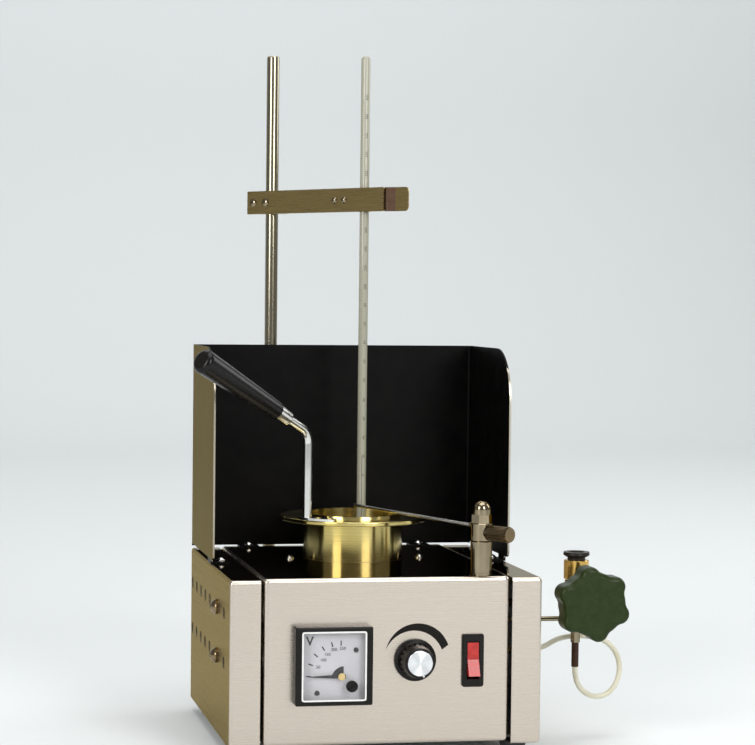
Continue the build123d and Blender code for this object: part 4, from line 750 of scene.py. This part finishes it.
def letters(marks, text, size, to_place, bold=0.0):
    """Add a line of text; to_place turns a flat point (along, up, out) into its place."""
    curve = bpy.data.curves.new("letters", "FONT")
    curve.body = text
    curve.size = size
    curve.offset = bold
    curve.extrude = sliver / 2
    curve.align_x = "CENTER"
    curve.align_y = "CENTER"
    curve.resolution_u = 3
    holder = bpy.data.objects.new("letters", curve)
    scene.collection.objects.link(holder)
    flat = drawn_mesh(holder)
    bpy.data.objects.remove(holder)
    first = len(marks.verts)
    marks.from_mesh(flat)
    marks.verts.ensure_lookup_table()
    for vert in marks.verts[first:]:
        vert.co = to_place(*vert.co)
    bpy.data.meshes.remove(flat)


def finished(name, marks, mat, body):
    """Turn the collected marks into a piece that rides on a body."""
    bmesh.ops.remove_doubles(marks, verts=marks.verts, dist=1e-7)
    bmesh.ops.recalc_face_normals(marks, faces=marks.faces)
    mesh = bpy.data.meshes.new(name)
    marks.to_mesh(mesh)
    marks.free()
    piece = bpy.data.objects.new(name, mesh)
    scene.collection.objects.link(piece)
    mesh.materials.append(mat)
    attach(piece, body)


ink = varied(
    "printed_ink", tint(0.007, 0.006, 0.005), tint(0.012, 0.010, 0.009),
    rough=(0.45, 0.6), scale=600, bump=0.02, seed=30.0,
    specular=0.12,
)
# White for the knob's printed line, and for the painted highlight along the meter window.
white_print_and_highlight = varied(
    "white_print_and_highlight", tint(0.76, 0.75, 0.73), tint(0.82, 0.81, 0.79),
    rough=(0.4, 0.5), scale=300, bump=0.02, seed=31.0,
)
print("marks are", sliver * 1000, "mm thick")

# %% [markdown]
# ## Meter dial
#
# The voltmeter's dial has a quarter-circle scale around the needle's pivot, with five
# numbers and the letter for volts. The scale isn't even: the steps get closer as the
# voltage rises. A thin white band along the window's edge is a painted highlight.

# %% Meter dial
pivot = middle_of("needle_hub")
dial_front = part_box("meter_dial")[0][1] - sliver
dial_marks = bmesh.new()


def on_dial(radius, angle):
    """Place on the dial: the angle turns up from the left, around the pivot."""
    return pivot.x - radius * math.cos(angle), pivot.z + radius * math.sin(angle)


def on_dial_at(x, z):
    """Lays flat letters on the dial around a point."""
    return lambda along, up, out: (x + along, dial_front - out, z + up)


tick_circle, tick_length, tick_width = 0.0210, 0.0032, 0.0008
for angle in (0, 21, 39.5, 57, 74, 90):
    turn = math.radians(angle)
    tick = bar(*on_dial(tick_circle, turn), tick_length, tick_width, -turn)
    sliver_of(dial_marks, tick, dial_front)
# Each number with its distance from the pivot and its angle on the scale.
volts = (
    (50, 0.0158, 21.8), (100, 0.0154, 42.0), (150, 0.0164, 57.5),
    (200, 0.0174, 75.0), (250, 0.0176, 93.5),
)
number_size, letter_size = 0.0028, 0.0078
for number, radius, angle in volts:
    place = on_dial(radius, math.radians(angle))
    letters(dial_marks, str(number), number_size, on_dial_at(*place), 0.00003)
letters(dial_marks, "V", letter_size, on_dial_at(pivot.x - 0.0202, pivot.z + 0.0223), 0.00022)
finished("dial_print", dial_marks, ink, "case")

# A white ring along the window's edge is a painted highlight of the glass edge.
window_glint = bmesh.new()
low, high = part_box("meter_window")
glint_width, glint_corner, glint_out = 0.0011, 0.0015, 0.0001


def rounded(inset, corner):
    """Outline of the window, drawn in by an inset, with rounded corners."""
    spots = (
        (high[0] - inset - corner, high[2] - inset - corner, 0),
        (low[0] + inset + corner, high[2] - inset - corner, 90),
        (low[0] + inset + corner, low[2] + inset + corner, 180),
        (high[0] - inset - corner, low[2] + inset + corner, 270),
    )
    line = []
    for x, z, start in spots:
        for step in range(0, 91, 18):
            turn = math.radians(start + step)
            line.append((x + corner * math.cos(turn), z + corner * math.sin(turn)))
    return line


outer, inner = rounded(0.0001, glint_corner), rounded(glint_width, glint_corner * 0.6)
front, back = low[1] - glint_out, low[1] + glint_out
glint_loops = [
    [window_glint.verts.new((x, y, z)) for x, z in line]
    for line, y in ((outer, front), (inner, front), (inner, back), (outer, back))
]
for one, two in zip(glint_loops, glint_loops[1:] + glint_loops[:1]):
    walls(window_glint, one, two)
finished("window_edge_highlight", window_glint, white_print_and_highlight, "case")
print("dial numbers:", [v[0] for v in volts])

# %% [markdown]
# ## Voltage scale and knob pointer
#
# A black wedge bends over the knob and grows wider to the right: more voltage that way.
# It is the space between two circles whose centres are a little apart. The knob carries
# a white line down its flank, which turns with it.

# %% Voltage scale and knob pointer
knob_middle = middle_of("voltage_knob")
panel_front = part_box("centre_shell")[0][1] - sliver


def arc_points(offset_x, offset_z, radius, start, end, steps=40):
    """Points along a circle near the knob's axis, from one angle to another."""
    x, z = knob_middle.x + offset_x, knob_middle.z + offset_z
    turns = [math.radians(start + (end - start) * i / steps) for i in range(steps + 1)]
    return [(x + radius * math.cos(turn), z + radius * math.sin(turn)) for turn in turns]


wedge_outer = arc_points(0.0018, 0.0019, 0.0214, 168.2, 19.8)
wedge_inner = arc_points(-0.0008, -0.0012, 0.0199, 157.7, 21.5)
wedge = bmesh.new()
front, back = panel_front, panel_front + sliver
closed(wedge, [
    [(a, front, b), (c, front, d), (c, back, d), (a, back, b)]
    for (a, b), (c, d) in zip(wedge_outer, wedge_inner)
])
finished("voltage_wedge", wedge, ink, "case")

pointer = bmesh.new()
pointer_turn = math.radians(164)
outward = Vector((math.sin(pointer_turn), 0, math.cos(pointer_turn)))
across = Vector((math.cos(pointer_turn), 0, -math.sin(pointer_turn)))
knob_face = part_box("voltage_knob")[0][1]
half_line = 0.00045
# Distance from the axis and depth, from the skirt up the flank and over the front edge.
flank = (
    (0.01135, knob_face + 0.0112), (0.0098, knob_face + 0.0012),
    (0.0090, knob_face - 0.0001), (0.0083, knob_face - 0.0001),
)
inside = [(r - 0.0004, y + 0.0003) for r, y in flank]
closed(pointer, [
    [
        Vector((knob_middle.x, y, knob_middle.z)) + outward * r + across * side
        for (r, y), side in (
            (top, -half_line), (top, half_line), (under, half_line), (under, -half_line),
        )
    ]
    for top, under in zip(flank, inside)
])
finished("knob_pointer", pointer, white_print_and_highlight, "knob")
print("pointer at", round(math.degrees(pointer_turn)), "degrees from the top")

# %% [markdown]
# ## Thermometer scale
#
# The scale runs up the stem with a number every twenty degrees, turned to read along
# the glass. A flat mark is bent round the stem: its sideways distance becomes an angle.

# %% Thermometer scale
stem_middle = middle_of("thermometer_stem")
stem_radius = 0.0032
scale_turn = math.radians(12)
towards = Vector((-math.sin(scale_turn), -math.cos(scale_turn), 0))
beside = Vector((math.cos(scale_turn), -math.sin(scale_turn), 0))
scale_start, mark_step, number_step = 0.170, 0.0013, 0.013
mark_start, half_mark = -0.0004, 0.00008


def on_stem(sideways, height, out):
    """Place on the stem: sideways distance bends round the glass."""
    turn = sideways / stem_radius
    reach = stem_radius + out
    place = (towards * math.cos(turn) + beside * math.sin(turn)) * reach
    return Vector((stem_middle.x + place.x, stem_middle.y + place.y, height))


stem_marks = bmesh.new()


def stem_bar(left, right, bottom, top):
    """A closed sliver bent round the stem."""
    steps = 3
    corners = ((bottom, sliver), (top, sliver), (top, -sliver), (bottom, -sliver))
    closed(stem_marks, [
        [on_stem(left + (right - left) * i / steps, height, out) for height, out in corners]
        for i in range(steps + 1)
    ])


for step in range(201):
    height = scale_start + step * mark_step
    reach = 0.0026 if step % 10 == 0 else (0.0020 if step % 5 == 0 else 0.0014)
    stem_bar(mark_start - reach, mark_start, height - half_mark, height + half_mark)
for step in range(21):
    number_height = scale_start + step * number_step + 0.0026

    def beside_mark(along, up, out, number_height=number_height):
        return on_stem(0.0013 - up, number_height + along, out + sliver / 2)

    letters(stem_marks, str(step * 20), 0.0026, beside_mark, 0.00002)
# The thin column of liquid is drawn on the front of the glass, low, as in a cold one.
column_top = 0.186
stem_bar(0.0, 0.00035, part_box("thermometer_stem")[0][2] + 0.004, column_top)
stem_ink = varied(
    "stem_ink", tint(0.075, 0.066, 0.050), tint(0.120, 0.105, 0.080),
    rough=(0.35, 0.5), scale=600, bump=0.02, seed=32.0,
)
finished("thermometer_scale", stem_marks, stem_ink, "thermometer")
print("21 numbers and 201 marks on the stem")

# %% [markdown]
# ## Screw recesses
#
# A pan head has a cross recess. The heads are islands of one mesh, so the cell walks
# each island, finds its furthest point along the screw's own direction, and sets a dark
# cross there: painted shade for the recess.

# %% Screw recesses
def heads(node, direction_of):
    """Tip and direction of each screw in a node: its islands, seen along their own axis."""
    mesh = bmesh.new()
    mesh.from_mesh(nodes[node].data)
    bmesh.ops.remove_doubles(mesh, verts=mesh.verts, dist=1e-6)
    seen, found = set(), []
    for start in mesh.verts:
        if start in seen:
            continue
        seen.add(start)
        island, edge = [], [start]
        while edge:
            vert = edge.pop()
            island.append(vert.co.copy())
            for link in vert.link_edges:
                other = link.other_vert(vert)
                if other not in seen:
                    seen.add(other)
                    edge.append(other)
        centre = sum(island, Vector()) / len(island)
        direction = direction_of(centre)
        reach = max(direction.dot(place) for place in island)
        flat = halfway([place - direction * direction.dot(place) for place in island])
        found.append((flat + direction * reach, direction))
    mesh.free()
    return found


def recess(marks, tip, direction, length):
    """A cross of two closed bars, sunk into a head."""
    half_width, stands, sinks = 0.000225, 0.00002, -0.0005
    side = direction.orthogonal().normalized()
    other = direction.cross(side)
    corners = (
        (-half_width, stands), (half_width, stands), (half_width, sinks), (-half_width, sinks),
    )
    for along, wide in ((side, other), (other, side)):
        closed(marks, [
            [tip + along * end + wide * across + direction * up for across, up in corners]
            for end in (-length / 2, length / 2)
        ])


deck_height = 0.112


def pan_direction(centre):
    """Screws on top look up, and those at the back look back."""
    return Vector((0, 0, 1)) if centre.z > deck_height else Vector((0, 1, 0))


def cover_direction(centre):
    """Screws of the side covers look outward to their own side."""
    return Vector((math.copysign(1, centre.x), 0, 0))


# The arm runs from the rod to the thermometer, and its front is square to that line.
arm_line = (stem_middle - middle_of("stand_rod")).normalized()
arm_face = Vector((arm_line.y, -arm_line.x, 0)).normalized()
# The crosses are dark as painted shade inside the recesses.
recess_painted_shade = varied(
    "recess_painted_shade", tint(0.012, 0.010, 0.008), tint(0.022, 0.019, 0.015),
    rough=(0.5, 0.7), scale=600, bump=0.05, seed=33.0,
)
screw_groups = (
    ("pan_screws", "case", pan_direction, 0.0021),
    ("cover_screws", "case", cover_direction, 0.0030),
    ("arm_screws", "thermometer_arm", lambda centre: arm_face, 0.0021),
)
for node, body, direction_of, cross_length in screw_groups:
    marks = bmesh.new()
    tips = heads(node, direction_of)
    for tip, direction in tips:
        recess(marks, tip, direction, cross_length)
    finished(node + "_recess", marks, recess_painted_shade, body)
    print(node, len(tips), "heads")
